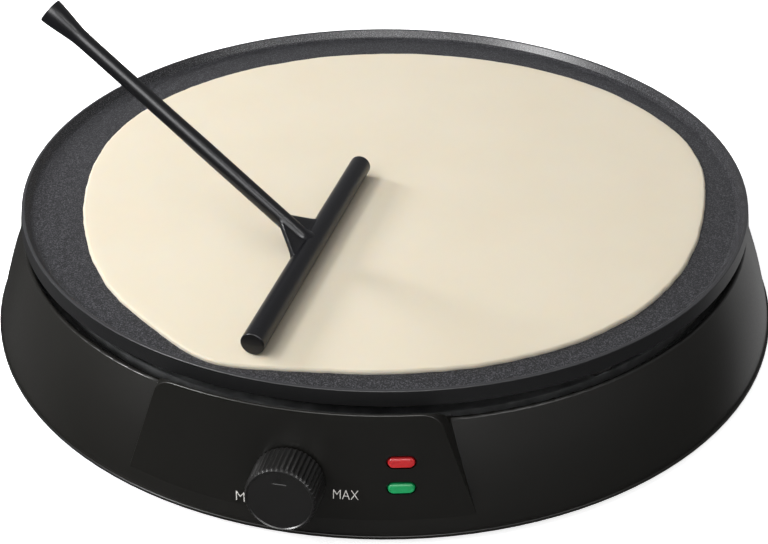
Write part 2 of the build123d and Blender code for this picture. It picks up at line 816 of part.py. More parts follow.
with BuildPart() as thermostat_spindle:
    with BuildSketch(knob_plane(spindle_end)):
        Circle(spindle_radius)
    extrude(amount=knob_gap + spindle_grip - spindle_end)
    chamfer(thermostat_spindle.edges().sort_by(Axis.Y)[0], spindle_chamfer)
    with BuildSketch(knob_plane(knob_gap + spindle_grip)):
        with Locations((0, spindle_flat + spindle_radius)):
            Rectangle(3 * spindle_radius, 2 * spindle_radius)
    extrude(amount=-spindle_grip, mode=Mode.SUBTRACT)
thermostat_spindle.part.label = "thermostat_spindle"
export_step(thermostat_spindle.part, "parts/thermostat_spindle.step")

with BuildPart() as adjusting_pin:
    with BuildSketch(knob_plane(pin_tip)):
        Circle(adjusting_pin_radius)
    extrude(amount=spindle_end - pin_tip)
adjusting_pin.part.label = "adjusting_pin"
export_step(adjusting_pin.part, "parts/adjusting_pin.step")

with BuildPart() as spindle_bush:
    with BuildSketch(knob_plane(bracket_face)):
        Circle(bush_radius)
    extrude(amount=bush_collar)
    with BuildSketch(knob_plane(bracket_back)):
        Circle(bush_neck)
    extrude(amount=bracket_sheet)
    with BuildSketch(knob_plane(bracket_back)):
        RegularPolygon(bush_radius, 6)
    extrude(amount=-bush_collar)
    with BuildSketch(knob_plane(bracket_face + bush_collar)):
        Circle(spindle_radius + running)
    extrude(amount=-bracket_sheet - 2 * bush_collar, mode=Mode.SUBTRACT)
spindle_bush.part.label = "spindle_bush"
export_step(spindle_bush.part, "parts/spindle_bush.step")

with BuildPart() as thermostat_bracket:
    with BuildSketch(knob_plane(bracket_back)):
        with Locations((column[0] / 2, 0)):
            SlotOverall(bracket_width - column[0], bracket_width)
        Circle(bush_neck, mode=Mode.SUBTRACT)
        with Locations(column):
            Circle(rivet_radius, mode=Mode.SUBTRACT)
    extrude(amount=bracket_sheet)
thermostat_bracket.part.label = "thermostat_bracket"
export_step(thermostat_bracket.part, "parts/thermostat_bracket.step")

with BuildPart() as ceramic_beads:
    for face, length in (
        (upper_spring_face, first_bead),
        (lower_spring_face, second_bead),
        (bimetal_face, third_bead),
    ):
        with BuildSketch(knob_plane(face)):
            with Locations(column):
                Circle(bead_radius)
                Circle(rivet_radius, mode=Mode.SUBTRACT)
        extrude(amount=length)
ceramic_beads.part.label = "ceramic_beads"
export_step(ceramic_beads.part, "parts/ceramic_beads.step")

contact_spot = (spring_tip - contact_setback, 0)
with BuildPart() as contact_springs:
    for face in (upper_spring_face, lower_spring_face):
        with BuildSketch(knob_plane(face)):
            with Locations(((tab_end + spring_tip) / 2, 0)):
                Rectangle(spring_tip - tab_end, spring_width)
            with Locations(column):
                Circle(bead_radius)
                Circle(rivet_radius, mode=Mode.SUBTRACT)
        extrude(amount=-spring_sheet)
contact_springs.part.label = "contact_springs"
export_step(contact_springs.part, "parts/contact_springs.step")

with BuildPart() as contact_buttons:
    with BuildSketch(knob_plane(upper_spring_face - spring_sheet)):
        with Locations(contact_spot):
            Circle(contact_radius)
    extrude(amount=-contact_height)
    with BuildSketch(knob_plane(lower_spring_face)):
        with Locations(contact_spot):
            Circle(contact_radius)
    extrude(amount=contact_height)
contact_buttons.part.label = "contact_buttons"
export_step(contact_buttons.part, "parts/contact_buttons.step")

with BuildPart() as bimetal_strip:
    with BuildSketch(knob_plane(bimetal_face)):
        with Locations(((bimetal_tip + column[0] - bimetal_heel) / 2, 0)):
            SlotOverall(bimetal_tip + bimetal_heel - column[0], bimetal_width)
        with Locations(column):
            Circle(rivet_radius, mode=Mode.SUBTRACT)
    extrude(amount=-bimetal_sheet)
bimetal_strip.part.label = "bimetal_strip"
export_step(bimetal_strip.part, "parts/bimetal_strip.step")

push_pin_spot = (spring_tip - push_pin_setback, 0)
with BuildPart() as push_pin:
    with BuildSketch(knob_plane(lower_spring_face - spring_sheet)):
        with Locations(push_pin_spot):
            Circle(push_pin_radius)
    extrude(amount=-third_bead)
push_pin.part.label = "push_pin"
export_step(push_pin.part, "parts/push_pin.step")

leg_width = 14.0
leg_heel = 7.0  # leg below the knob's axis
leg_start = knob_plane(leg_face).from_local_coords((column[0], -leg_heel, 0))
leg_rise = knob_plane(0).y_dir
boss_x, boss_y = thermostat_boss
leg_top = leg_start + leg_rise * ((land_z - leg_start.Z) / leg_rise.Z)
sheet_back = bracket_sheet / cos(radians(panel_tilt))
leg_bend_y = leg_top.Y + sheet_back - bracket_sheet * leg_rise.Y / leg_rise.Z
with BuildPart() as thermostat_leg:
    with BuildSketch(Plane.YZ.offset(column[0])):
        with BuildLine():
            Polyline(
                (leg_start.Y, leg_start.Z),
                (leg_top.Y, leg_top.Z),
                (boss_y + small_boss_radius, land_z),
                (boss_y + small_boss_radius, land_z - bracket_sheet),
                (leg_bend_y, land_z - bracket_sheet),
                (leg_start.Y + sheet_back, leg_start.Z),
                close=True,
            )
        make_face()
    extrude(amount=leg_width / 2, both=True)
    with BuildSketch(knob_plane(leg_face)):
        with Locations(column):
            Circle(rivet_radius)
    extrude(amount=-2 * bracket_sheet, mode=Mode.SUBTRACT)
    with BuildSketch(Plane.XY.offset(land_z)):
        with Locations(thermostat_boss):
            Circle(small_bore + screw_slack)
    extrude(amount=-2 * bracket_sheet, mode=Mode.SUBTRACT)
thermostat_leg.part.label = "thermostat_leg"
export_step(thermostat_leg.part, "parts/thermostat_leg.step")

rivet_head = 3.4
rivet_head_height = 1.2
with BuildPart() as column_rivet:
    with BuildSketch(knob_plane(bracket_face)):
        with Locations(column):
            Circle(rivet_head)
    extrude(amount=rivet_head_height)
    with BuildSketch(knob_plane(bracket_face)):
        with Locations(column):
            Circle(rivet_radius)
    extrude(amount=leg_back - bracket_face)
    with BuildSketch(knob_plane(leg_back)):
        with Locations(column):
            Circle(rivet_head)
    extrude(amount=-rivet_head_height)
column_rivet.part.label = "column_rivet"
export_step(column_rivet.part, "parts/column_rivet.step")

thermostat_screw = make_screws(
    [Plane(origin=(boss_x, boss_y, land_z - bracket_sheet), z_dir=(0, 0, -1))],
    small_bore,
    bracket_sheet + small_thread_depth - screw_end_gap,
    small_head_radius,
    small_head_height,
)
thermostat_screw.label = "thermostat_screw"
export_step(thermostat_screw, "parts/thermostat_screw.step")

# ================================================================ indicator lamps
lens_flange = 1.2
lens_seat_gap = 0.25
lens_flange_face = -wall - lens_seat_gap
lens_flange_sheet = 1.0
carrier_face = lens_flange_face - lens_flange_sheet - slip
carrier_depth = 9.0
carrier_width = 20.0
carrier_height = 22.0
carrier_corner = 1.5
ear_sheet = 2.0
lamp_radius = 2.6
lamp_length = 10.5
carrier_floor = 1.5
lamp_end_room = 2.0
lamp_side_room = 1.0
lamp_middle = carrier_face - carrier_depth + carrier_floor + lamp_radius

for name, height in zip(("red_lens", "green_lens"), lens_heights):
    with BuildPart() as lens:
        with BuildSketch(panel_plane(lens_bearing, height, lens_flange_face)):
            SlotOverall(lens_length, lens_width)
        extrude(amount=lens_stand - lens_flange_face)
        fillet(lens.faces().sort_by(Axis.Y)[0].edges(), lens_stand * 0.8)
        with BuildSketch(panel_plane(lens_bearing, height, lens_flange_face)):
            SlotOverall(lens_length + 2 * lens_flange, lens_width + 2 * lens_flange)
        extrude(amount=-lens_flange_sheet)
    lens.part.label = name
    export_step(lens.part, "parts/" + name + ".step")

with BuildPart() as lamp_carrier:
    with BuildSketch(panel_plane(lens_bearing, lamp_height, carrier_face)):
        RectangleRounded(carrier_width, carrier_height, carrier_corner)
    extrude(amount=-carrier_depth)
    with BuildSketch(panel_plane(lens_bearing, lamp_height, -lamp_boss_depth)):
        SlotOverall(2 * lamp_boss_spread + 2 * lamp_boss_radius, 2 * lamp_boss_radius)
    extrude(amount=-ear_sheet)
    for height in lens_heights:
        with BuildSketch(panel_plane(lens_bearing, height, carrier_face)):
            SlotOverall(lamp_length + 2 * lamp_end_room, 2 * lamp_radius + 2 * lamp_side_room)
        extrude(amount=-carrier_depth + carrier_floor, mode=Mode.SUBTRACT)
    with BuildSketch(panel_plane(lens_bearing, lamp_height, -lamp_boss_depth)):
        with Locations((-lamp_boss_spread, 0), (lamp_boss_spread, 0)):
            Circle(lamp_screw_radius + screw_slack)
    extrude(amount=-ear_sheet, mode=Mode.SUBTRACT)
lamp_carrier.part.label = "lamp_carrier"
export_step(lamp_carrier.part, "parts/lamp_carrier.step")

for name, height in zip(("red_lamp", "green_lamp"), lens_heights):
    middle = panel_plane(lens_bearing, height, lamp_middle)
    with BuildPart() as lamp:
        with BuildSketch(Plane(origin=middle.origin, x_dir=middle.y_dir, z_dir=middle.x_dir)):
            Circle(lamp_radius)
        extrude(amount=lamp_length / 2, both=True)
        fillet(lamp.edges(), lamp_radius * 0.8)
    lamp.part.label = name
    export_step(lamp.part, "parts/" + name + ".step")

lamp_screw_head = 2.4
lamp_screw_head_height = 1.4
lamp_screw_bite = lamp_boss_depth - 2 * wall - screw_end_gap
ear_back = panel_plane(lens_bearing, lamp_height, -lamp_boss_depth - ear_sheet)
ear_spots = [ear_back.from_local_coords((side * lamp_boss_spread, 0, 0)) for side in (-1, 1)]
lamp_screws = make_screws(
    [Plane(origin=spot, x_dir=ear_back.x_dir, z_dir=-ear_back.z_dir) for spot in ear_spots],
    lamp_screw_radius,
    ear_sheet + lamp_screw_bite,
    lamp_screw_head,
    lamp_screw_head_height,
)
lamp_screws.label = "lamp_screws"
export_step(lamp_screws, "parts/lamp_screws.step")

# ================================================================ wiring fittings
block_length = 36.0
block_width = 16.0
block_height = 14.0
block_step = 11.0
block_wire_radius = 2.0
block_screw_well = 2.4
block_corner = 1.5
block_chamfer = 0.8
block_screw_depth = 4.0
with BuildPart() as terminal_block:
    with BuildSketch(Plane.XY.offset(cover_top)):
        with Locations((0, terminal_block_y)):
            RectangleRounded(block_length, block_width, block_corner)
    extrude(amount=block_height)
    chamfer(terminal_block.edges().group_by(Axis.Z)[-1], block_chamfer)
    with BuildSketch(Plane.XZ.offset(-terminal_block_y - block_width)):
        with Locations((0, cover_top + block_height / 2)):
            with GridLocations(block_step, 1, 3, 1):
                Circle(block_wire_radius)
    extrude(amount=2 * block_width, mode=Mode.SUBTRACT)
    with BuildSketch(Plane.XY.offset(cover_top + block_height)):
        with Locations((0, terminal_block_y)):
            with GridLocations(block_step, 1, 3, 1):
                Circle(block_screw_well)
    extrude(amount=-block_height / 2 + block_wire_radius, mode=Mode.SUBTRACT)
    with BuildSketch(Plane.XY.offset(cover_top)):
        with Locations((0, terminal_block_y)):
            Circle(block_screw_radius)
    extrude(amount=block_screw_depth, mode=Mode.SUBTRACT)
terminal_block.part.label = "terminal_block"
export_step(terminal_block.part, "parts/terminal_block.step")

block_screw_drop = 3.0  # head's underside below the block's top
block_screw_shank = 1.4
block_head_radius = 2.2
block_head_height = 1.4
block_screw_z = cover_top + block_height - block_screw_drop
block_screws = make_screws(
    [Plane(origin=(step * block_step, terminal_block_y, block_screw_z)) for step in (-1, 0, 1)],
    block_screw_shank,
    block_height / 2 - block_wire_radius - block_screw_drop,
    block_head_radius,
    block_head_height,
)
block_screws.label = "block_screws"
export_step(block_screws, "parts/block_screws.step")

gland_bore = 3.5
gland_flange = 9.0
gland_flange_sheet = 2.0
gland_nose = 8.0
gland_nose_radius = 7.0
gland_tip_radius = 5.4
with BuildPart() as cord_gland:
    with BuildSketch(Plane(origin=(0, 0, inlet_z), x_dir=(1, 0, 0), z_dir=(0, 0, 1))):
        with BuildLine():
            face = inlet_pad_face
            back = inlet_pad_face - inlet_pad_depth
            Polyline(
                (gland_bore, back - gland_flange_sheet),
                (gland_flange, back - gland_flange_sheet),
                (gland_flange, back),
                (gland_neck_radius, back),
                (gland_neck_radius, face),
                (gland_flange, face),
                (gland_flange, face + gland_flange_sheet),
                (gland_nose_radius, face + gland_flange_sheet),
                (gland_tip_radius, face + gland_flange_sheet + gland_nose),
                (gland_bore, face + gland_flange_sheet + gland_nose),
                close=True,
            )
        make_face()
    revolve(axis=Axis((0, 0, inlet_z), (0, 1, 0)))
cord_gland.part.label = "cord_gland"
export_step(cord_gland.part, "parts/cord_gland.step")

fuse_radius = 2.2
fuse_length = 12.0
fuse_lead_radius = 0.5
sleeve_wall = 0.6
fuse_z = under_z - slip - fuse_radius - sleeve_wall
fuse_x, fuse_y = fuse_spot
with BuildPart() as thermal_fuse:
    with BuildSketch(Plane.YZ.offset(fuse_x)):
        with Locations((fuse_y, fuse_z)):
            Circle(fuse_radius)
    extrude(amount=fuse_length / 2, both=True)
    with BuildSketch(Plane.YZ.offset(fuse_x)):
        with Locations((fuse_y, fuse_z)):
            Circle(fuse_lead_radius)
    extrude(amount=fuse_length * 0.8, both=True)
thermal_fuse.part.label = "thermal_fuse"
export_step(thermal_fuse.part, "parts/thermal_fuse.step")

with BuildPart() as fuse_sleeve:
    with BuildSketch(Plane.YZ.offset(fuse_x)):
        with Locations((fuse_y, fuse_z)):
            Circle(fuse_radius + sleeve_wall)
            Circle(fuse_radius, mode=Mode.SUBTRACT)
    extrude(amount=fuse_length * 0.7, both=True)
fuse_sleeve.part.label = "fuse_sleeve"
export_step(fuse_sleeve.part, "parts/fuse_sleeve.step")

fuse_clip_width = 7.0
fuse_clip_sheet = 0.8
fuse_clip_mouth = 1.5  # its arms end this far above the fuse's axis
fuse_screw_y = fuse_y + fuse_screw_offset
with BuildPart() as fuse_clip:
    with BuildSketch(Plane.YZ.offset(fuse_x)):
        with Locations((fuse_y, fuse_z)):
            Circle(fuse_radius + sleeve_wall + fuse_clip_sheet)
            with Locations((0, fuse_clip_mouth + 2 * fuse_radius)):
                Rectangle(6 * fuse_radius, 4 * fuse_radius, mode=Mode.SUBTRACT)
        strap_middle = (fuse_y + fuse_screw_y + small_boss_radius) / 2
        with Locations((strap_middle, land_z - fuse_clip_sheet / 2)):
            Rectangle(fuse_screw_offset + small_boss_radius, fuse_clip_sheet)
        with Locations((fuse_y, fuse_z)):
            Circle(fuse_radius + sleeve_wall, mode=Mode.SUBTRACT)
    extrude(amount=fuse_clip_width / 2, both=True)
    with BuildSketch(Plane.XY.offset(land_z)):
        with Locations((fuse_x, fuse_screw_y)):
            Circle(small_bore + screw_slack)
    extrude(amount=-3 * fuse_clip_sheet, mode=Mode.SUBTRACT)
fuse_clip.part.label = "fuse_clip"
export_step(fuse_clip.part, "parts/fuse_clip.step")

fuse_screw = make_screws(
    [Plane(origin=(fuse_x, fuse_screw_y, land_z - fuse_clip_sheet), z_dir=(0, 0, -1))],
    small_bore,
    fuse_clip_sheet + small_thread_depth - screw_end_gap,
    small_head_radius,
    small_head_height,
)
fuse_screw.label = "fuse_screw"
export_step(fuse_screw, "parts/fuse_screw.step")

tag_sheet = 0.8
tag_radius = 4.0
tag_reach = 15.0
with BuildPart() as earth_tag:
    with BuildSketch(Plane.XY.offset(land_z)):
        with Locations(earth_spot):
            Circle(tag_radius)
            with Locations((tag_reach / 2, 0)):
                Rectangle(tag_reach, spade_width)
            Circle(small_bore + screw_slack, mode=Mode.SUBTRACT)
    extrude(amount=-tag_sheet)
earth_tag.part.label = "earth_tag"
export_step(earth_tag.part, "parts/earth_tag.step")

earth_screw = make_screws(
    [Plane(origin=(*earth_spot, land_z - tag_sheet), z_dir=(0, 0, -1))],
    small_bore,
    tag_sheet + small_thread_depth - screw_end_gap,
    small_head_radius,
    small_head_height,
)
earth_screw.label = "earth_screw"
export_step(earth_screw, "parts/earth_screw.step")

# ================================================================ batter and spreader
with BuildPart() as crepe_batter:
    with BuildSketch(Plane.XY.offset(floor_z)):
        with Locations(batter_shift):
            Circle(batter_radius)
    extrude(amount=batter_thickness)
    fillet(crepe_batter.edges().group_by(Axis.Z)[-1], batter_thickness * 0.6)
crepe_batter.part.label = "crepe_batter"
export_step(crepe_batter.part, "parts/crepe_batter.step")

bar_z = batter_z + rest_gap + bar_radius
bar_way = Vector(cos(radians(bar_angle)), sin(radians(bar_angle)), 0)
bar_middle = Vector(*bar_center, bar_z)
lean = Vector(-bar_way.Y, bar_way.X, 0)
handle_way = lean * cos(radians(handle_rise)) + Vector(0, 0, 1) * sin(radians(handle_rise))
peg_radius = 2.4
bar_edge = 0.5
web_reach = 14.6  # each web along the bar
web_rise = 16.0  # and up the handle
web_thickness = 2.6
taper_start = 60.0  # stem narrows from here to its neck
neck_radius = 3.3
neck_round = 25.0
flare_length = 15.0  # neck to the handle's end
flare_radius = 5.28
flare_lip = 1.8  # straight end of the flare
lip_bend = 10.0

with BuildPart() as spreader_bar:
    with BuildSketch(Plane(origin=bar_middle, z_dir=bar_way)):
        Circle(bar_radius)
    extrude(amount=bar_length / 2, both=True)
    fillet(spreader_bar.edges().filter_by(GeomType.CIRCLE), bar_edge)
    with BuildSketch(Plane(origin=bar_middle, x_dir=bar_way, z_dir=handle_way)):
        Circle(peg_radius + slip)
    extrude(amount=2 * bar_radius, mode=Mode.SUBTRACT)
spreader_bar.part.label = "spreader_bar"
export_step(spreader_bar.part, "parts/spreader_bar.step")

tee_plane = Plane(origin=bar_middle, x_dir=bar_way, z_dir=bar_way.cross(handle_way))
with BuildPart() as spreader_handle:
    with BuildSketch(tee_plane) as stem:
        with BuildLine():
            Polyline(
                (0, 0),
                (handle_radius, 0),
                (handle_radius, taper_start),
                (neck_radius, handle_length - flare_length),
                (flare_radius, handle_length - flare_lip),
                (flare_radius, handle_length),
                (0, handle_length),
                (0, 0),
            )
        make_face()
        corners = stem.vertices().filter_by(lambda corner: corner.X > 1).sort_by(Axis.Y)
        fillet(corners[3], lip_bend)
        fillet(corners[2], neck_round)
    revolve(axis=Axis(bar_middle, handle_way))
    with BuildSketch(tee_plane):
        with BuildLine():
            Polyline(
                (-web_reach, 0),
                (web_reach, 0),
                (web_reach, bar_radius),
                (0, web_rise + handle_radius),
                (-web_reach, bar_radius),
                close=True,
            )
        make_face()
    extrude(amount=web_thickness / 2, both=True)
    with BuildSketch(Plane(origin=bar_middle, z_dir=bar_way)):
        Circle(bar_radius)
    extrude(amount=web_reach * 2, both=True, mode=Mode.SUBTRACT)
    with BuildSketch(Plane(origin=bar_middle, x_dir=bar_way, z_dir=handle_way)):
        Circle(peg_radius)
    extrude(amount=2 * bar_radius)
spreader_handle.part.label = "spreader_handle"
export_step(spreader_handle.part, "parts/spreader_handle.step")
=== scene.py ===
from math import atan2, cos, degrees, exp, pi, radians, sin, sqrt

import bmesh
import bpy
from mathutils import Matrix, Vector, noise
from mathutils.geometry import delaunay_2d_cdt


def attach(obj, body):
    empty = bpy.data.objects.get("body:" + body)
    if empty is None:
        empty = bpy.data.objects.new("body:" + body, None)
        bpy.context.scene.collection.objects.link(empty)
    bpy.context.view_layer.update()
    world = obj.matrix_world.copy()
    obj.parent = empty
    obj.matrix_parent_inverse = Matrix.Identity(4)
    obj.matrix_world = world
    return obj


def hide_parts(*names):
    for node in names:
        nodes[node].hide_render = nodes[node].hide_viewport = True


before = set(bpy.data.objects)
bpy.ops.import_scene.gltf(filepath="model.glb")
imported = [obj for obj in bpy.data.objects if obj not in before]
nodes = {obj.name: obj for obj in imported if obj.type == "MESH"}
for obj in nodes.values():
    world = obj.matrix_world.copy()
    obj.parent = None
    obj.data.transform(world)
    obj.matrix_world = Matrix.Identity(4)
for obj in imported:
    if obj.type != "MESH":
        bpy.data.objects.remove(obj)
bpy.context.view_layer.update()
mm = 0.001
print("packed model loaded:", len(nodes), "pieces")


# sRGB hex to the linear colour that Blender's sockets take
def toLinear(code):
    parts = [int(code[i:i + 2], 16) / 255 for i in (1, 3, 5)]
    return [p / 12.92 if p <= 0.04045 else ((p + 0.055) / 1.055) ** 2.4 for p in parts] + [1.0]


# texture scale for a pattern whose repeat is a real size in mm
def scaleFor(size):
    return 1 / (size * mm)


# one node with its settings and its links; a name that isn't a socket is a property
def addNode(tree, kind, settings=None, links=None):
    node = tree.nodes.new(kind)
    for name, value in (settings or {}).items():
        if isinstance(name, int) or name in node.inputs:
            node.inputs[name].default_value = value
        else:
            setattr(node, name, value)
    for name, source in (links or {}).items():
        tree.links.new(source, node.inputs[name])
    return node


# an empty material with its shader set and the object's own coordinates at hand
def startMaterial(name, shaderValues):
    material = bpy.data.materials.new(name)
    material.use_nodes = True
    tree = material.node_tree
    shader = tree.nodes["Principled BSDF"]
    for socket, value in shaderValues.items():
        shader.inputs[socket].default_value = value
    place = addNode(tree, "ShaderNodeTexCoord").outputs["Object"]
    return material, tree, shader, place


# one object from its data, placed on a sphere round a target and turned to face it;
# turn is in degrees from the front of the cooker, rise in degrees above the table
def addAimed(name, data, turn, rise, distance, target=(0, 0, 0)):
    turn, rise = radians(turn), radians(rise)
    back = Vector((sin(turn) * cos(rise), -cos(turn) * cos(rise), sin(rise)))
    aimed = bpy.data.objects.new(name, data)
    bpy.context.scene.collection.objects.link(aimed)
    aimed.location = Vector(target) + back * distance
    aimed.rotation_mode = "QUATERNION"
    aimed.rotation_quaternion = (-back).to_track_quat("-Z", "Y")
    return aimed


# camera: stands a little to the right of the panel and looks down at the plate
cameraView = {
    "lens": 61.6, "sensor": 36, "clip": (0.01, 20),
    "azimuth": 11.35, "elevation": 33.4, "distance": 0.639,
    "target": (0, 0, 0.003),
    "shift": (-0.001171875, -0.0015625),  # share of the picture's width
}


def placeCamera(view):
    data = bpy.data.cameras.new("camera")
    data.lens = view["lens"]
    data.sensor_width = view["sensor"]
    data.shift_x, data.shift_y = view["shift"]
    data.clip_start, data.clip_end = view["clip"]
    camera = addAimed("camera", data, view["azimuth"], view["elevation"], view["distance"], view["target"])
    bpy.context.scene.camera = camera


placeCamera(cameraView)
bpy.context.scene.view_settings.view_transform = "Standard"

# soft boxes: turn is counted from the camera, 0 is behind it and 90 to its right; those with a
# rise below zero stand under the table's level, where only glossy rays reach them
softBoxes = {
    "keyBox": {"turn": 262, "rise": 50, "distance": 1.6, "size": 0.26, "power": 7.5, "glossy": False},
    "lowBox": {"turn": 244, "rise": 24, "distance": 1.6, "size": 0.34, "power": 14, "glossy": False},
    "leftGloss": {"turn": 299, "rise": 34, "distance": 1.6, "size": 0.4, "power": 46, "diffuse": False},
    "rightGloss": {"turn": 50, "rise": 35, "distance": 1.6, "size": 0.34, "power": 6.5, "diffuse": False},
    "frontGloss": {"turn": 0, "rise": 39, "distance": 1.6, "size": 0.95, "power": 28, "diffuse": False},
    "sideGloss": {"turn": 126, "rise": -13, "distance": 1.6, "size": 1.0, "power": 1.5, "diffuse": False},
    "farGloss": {"turn": 250, "rise": -8, "distance": 1.6, "size": 1.0, "power": 0.45, "diffuse": False},
    "frontBox": {"turn": 305, "rise": 50, "distance": 1.0, "size": 0.7, "power": 4.4, "glossy": False},
}


def placeBoxes(boxes):
    for name, box in boxes.items():
        data = bpy.data.lights.new(name, "AREA")
        data.shape = "SQUARE"
        data.size = box["size"]
        data.energy = box["power"]
        lamp = addAimed(name, data, cameraView["azimuth"] + box["turn"], box["rise"], box["distance"])
        lamp.visible_diffuse = box.get("diffuse", True)
        lamp.visible_glossy = box.get("glossy", True)


placeBoxes(softBoxes)

# the room is dim below the table's level, so that steep black sides stay black;
# the camera sees its wall white
roomLight = {"color": "#f4f4f6", "above": 0.38, "below": 0.06, "edge": 0.04, "wall": 1.1}


def makeRoom(look):
    room = bpy.data.worlds.new("studio")
    room.use_nodes = True
    tree = room.node_tree
    background = tree.nodes["Background"]
    background.inputs["Color"].default_value = toLinear(look["color"])
    direction = addNode(tree, "ShaderNodeTexCoord").outputs["Generated"]
    level = addNode(tree, "ShaderNodeSeparateXYZ", {}, {"Vector": direction})
    fade = addNode(tree, "ShaderNodeMapRange", {
        "From Min": -look["edge"], "From Max": look["edge"],
        "To Min": look["below"], "To Max": look["above"],
    }, {"Value": level.outputs["Z"]})
    seen = addNode(tree, "ShaderNodeLightPath").outputs["Is Camera Ray"]
    strength = addNode(tree, "ShaderNodeMix", {"data_type": "FLOAT", 3: look["wall"]}, {
        0: seen, 2: fade.outputs["Result"],
    })
    tree.links.new(strength.outputs[0], background.inputs["Strength"])
    bpy.context.scene.world = room


makeRoom(roomLight)

# table top: white acrylic, evenly matt and lit from below, so that shadows on it stay faint
tableForm = {
    "size": 6, "white": "#f6f6f6", "glow": 0.8,
    "specular": 0.1, "hazeSize": 90, "roughness": 0.8, "glossSpread": 0.06,
}


def makeTable(form):
    size = form["size"]
    mesh = bpy.data.meshes.new("table")
    mesh.from_pydata([(-size, -size, 0), (size, -size, 0), (size, size, 0), (-size, size, 0)], [], [(0, 1, 2, 3)])
    table = bpy.data.objects.new("table", mesh)
    bpy.context.scene.collection.objects.link(table)
    material, tree, shader, place = startMaterial("whiteAcrylicTable", {
        "Base Color": toLinear(form["white"]),
        "Specular IOR Level": form["specular"],
        "Emission Color": toLinear("#ffffff"),
        "Emission Strength": form["glow"],
    })
    haze = addNode(tree, "ShaderNodeTexNoise", {
        "Scale": scaleFor(form["hazeSize"]), "Detail": 2.0,
    }, {"Vector": place})
    gloss = addNode(tree, "ShaderNodeMapRange", {
        "To Min": form["roughness"] - form["glossSpread"],
        "To Max": form["roughness"] + form["glossSpread"],
    }, {"Value": haze.outputs["Fac"]})
    tree.links.new(gloss.outputs["Result"], shader.inputs["Roughness"])
    mesh.materials.append(material)
    table.visible_glossy = False


makeTable(tableForm)
print("camera, soft boxes and table placed")


# a finish in which one fine noise carries the tone and, where the look gives them, the gloss and the relief
def grainedFinish(name, shaderValues, look):
    material, tree, shader, place = startMaterial(name, shaderValues)
    grain = addNode(tree, "ShaderNodeTexNoise", {
        "Scale": scaleFor(look["grainSize"]), "Detail": look["detail"],
    }, {"Vector": place})
    tone = addNode(tree, "ShaderNodeMix", {
        "data_type": "RGBA", "A": toLinear(look["dark"]), "B": toLinear(look["light"]),
    }, {"Factor": grain.outputs["Fac"]})
    tree.links.new(tone.outputs[2], shader.inputs["Base Color"])
    if "glossSpread" in look:
        gloss = addNode(tree, "ShaderNodeMapRange", {
            "To Min": look["roughness"] - look["glossSpread"],
            "To Max": look["roughness"] + look["glossSpread"],
        }, {"Value": grain.outputs["Fac"]})
        tree.links.new(gloss.outputs["Result"], shader.inputs["Roughness"])
    if "relief" in look:
        bump = addNode(tree, "ShaderNodeBump", {
            "Strength": look["reliefStrength"], "Distance": look["relief"] * mm,
        }, {"Height": grain.outputs["Fac"]})
        tree.links.new(bump.outputs["Normal"], shader.inputs["Normal"])
    return material


# moulded plastic: slow clouds in its tone; a spark-eroded mould leaves fine grains, which break up the gloss;
# inside the given radius the plastic is rougher, and its tone is darkened as painted shade for the gap under the
# plate
def mouldedPlastic(name, look):
    material, tree, shader, place = startMaterial(name, {
        "IOR": look.get("ior", 1.54),
        "Specular IOR Level": look.get("specular", 0.5),
    })
    cloud = addNode(tree, "ShaderNodeTexNoise", {
        "Scale": scaleFor(look["cloudSize"]), "Detail": 3.0,
    }, {"Vector": place})
    tone = addNode(tree, "ShaderNodeMix", {
        "data_type": "RGBA", "A": toLinear(look["dark"]), "B": toLinear(look["light"]),
    }, {"Factor": cloud.outputs["Fac"]})
    grain = addNode(tree, "ShaderNodeTexNoise", {
        "Scale": scaleFor(look["grainSize"]), "Detail": 2.0,
    }, {"Vector": place})
    gloss = addNode(tree, "ShaderNodeMapRange", {
        "To Min": look["roughness"] - look["glossSpread"],
        "To Max": look["roughness"] + look["glossSpread"],
    }, {"Value": grain.outputs["Fac"]})
    colour, roughness = tone.outputs[2], gloss.outputs["Result"]
    if "dullAndShadedRadius" in look:
        level = addNode(tree, "ShaderNodeVectorMath", {"operation": "MULTIPLY", 1: (1, 1, 0)}, {0: place})
        reach = addNode(tree, "ShaderNodeVectorMath", {"operation": "LENGTH"}, {0: level.outputs["Vector"]})
        dullAndShaded = addNode(tree, "ShaderNodeMapRange", {
            "From Min": look["dullAndShadedRadius"] * mm, "From Max": (look["dullAndShadedRadius"] + look["dullAndShadedBlend"]) * mm,
            "To Min": 1.0, "To Max": 0.0,
        }, {"Value": reach.outputs["Value"]})
        # painted shade: inside the radius the tone is darkened towards near black, standing in for the shade in the
        # gap under the plate
        inside = addNode(tree, "ShaderNodeMix", {"data_type": "RGBA", "B": toLinear(look["paintedShadeTone"])}, {
            "Factor": dullAndShaded.outputs["Result"], "A": colour,
        })
        flat = addNode(tree, "ShaderNodeMix", {"data_type": "FLOAT", 3: look["dullRoughness"]}, {
            0: dullAndShaded.outputs["Result"], 2: roughness,
        })
        colour, roughness = inside.outputs[2], flat.outputs[0]
    tree.links.new(colour, shader.inputs["Base Color"])
    tree.links.new(roughness, shader.inputs["Roughness"])
    bump = addNode(tree, "ShaderNodeBump", {
        "Strength": look["grainStrength"], "Distance": look["grainDepth"] * mm,
    }, {"Height": grain.outputs["Fac"]})
    tree.links.new(bump.outputs["Normal"], shader.inputs["Normal"])
    return material


# housing: satin black polypropylene with a faint warm cast
housingLook = {
    "dark": "#161512", "light": "#1a1916", "cloudSize": 60,
    "roughness": 0.34, "glossSpread": 0.05, "specular": 0.28,
    "grainSize": 0.9, "grainStrength": 0.35, "grainDepth": 0.05,
    # under the plate's rim (inside 162.9 mm) the plastic is rough, and its near-black tone is painted shade
    "dullAndShadedRadius": 162.9, "dullAndShadedBlend": 0.6, "paintedShadeTone": "#040404", "dullRoughness": 0.95,
}
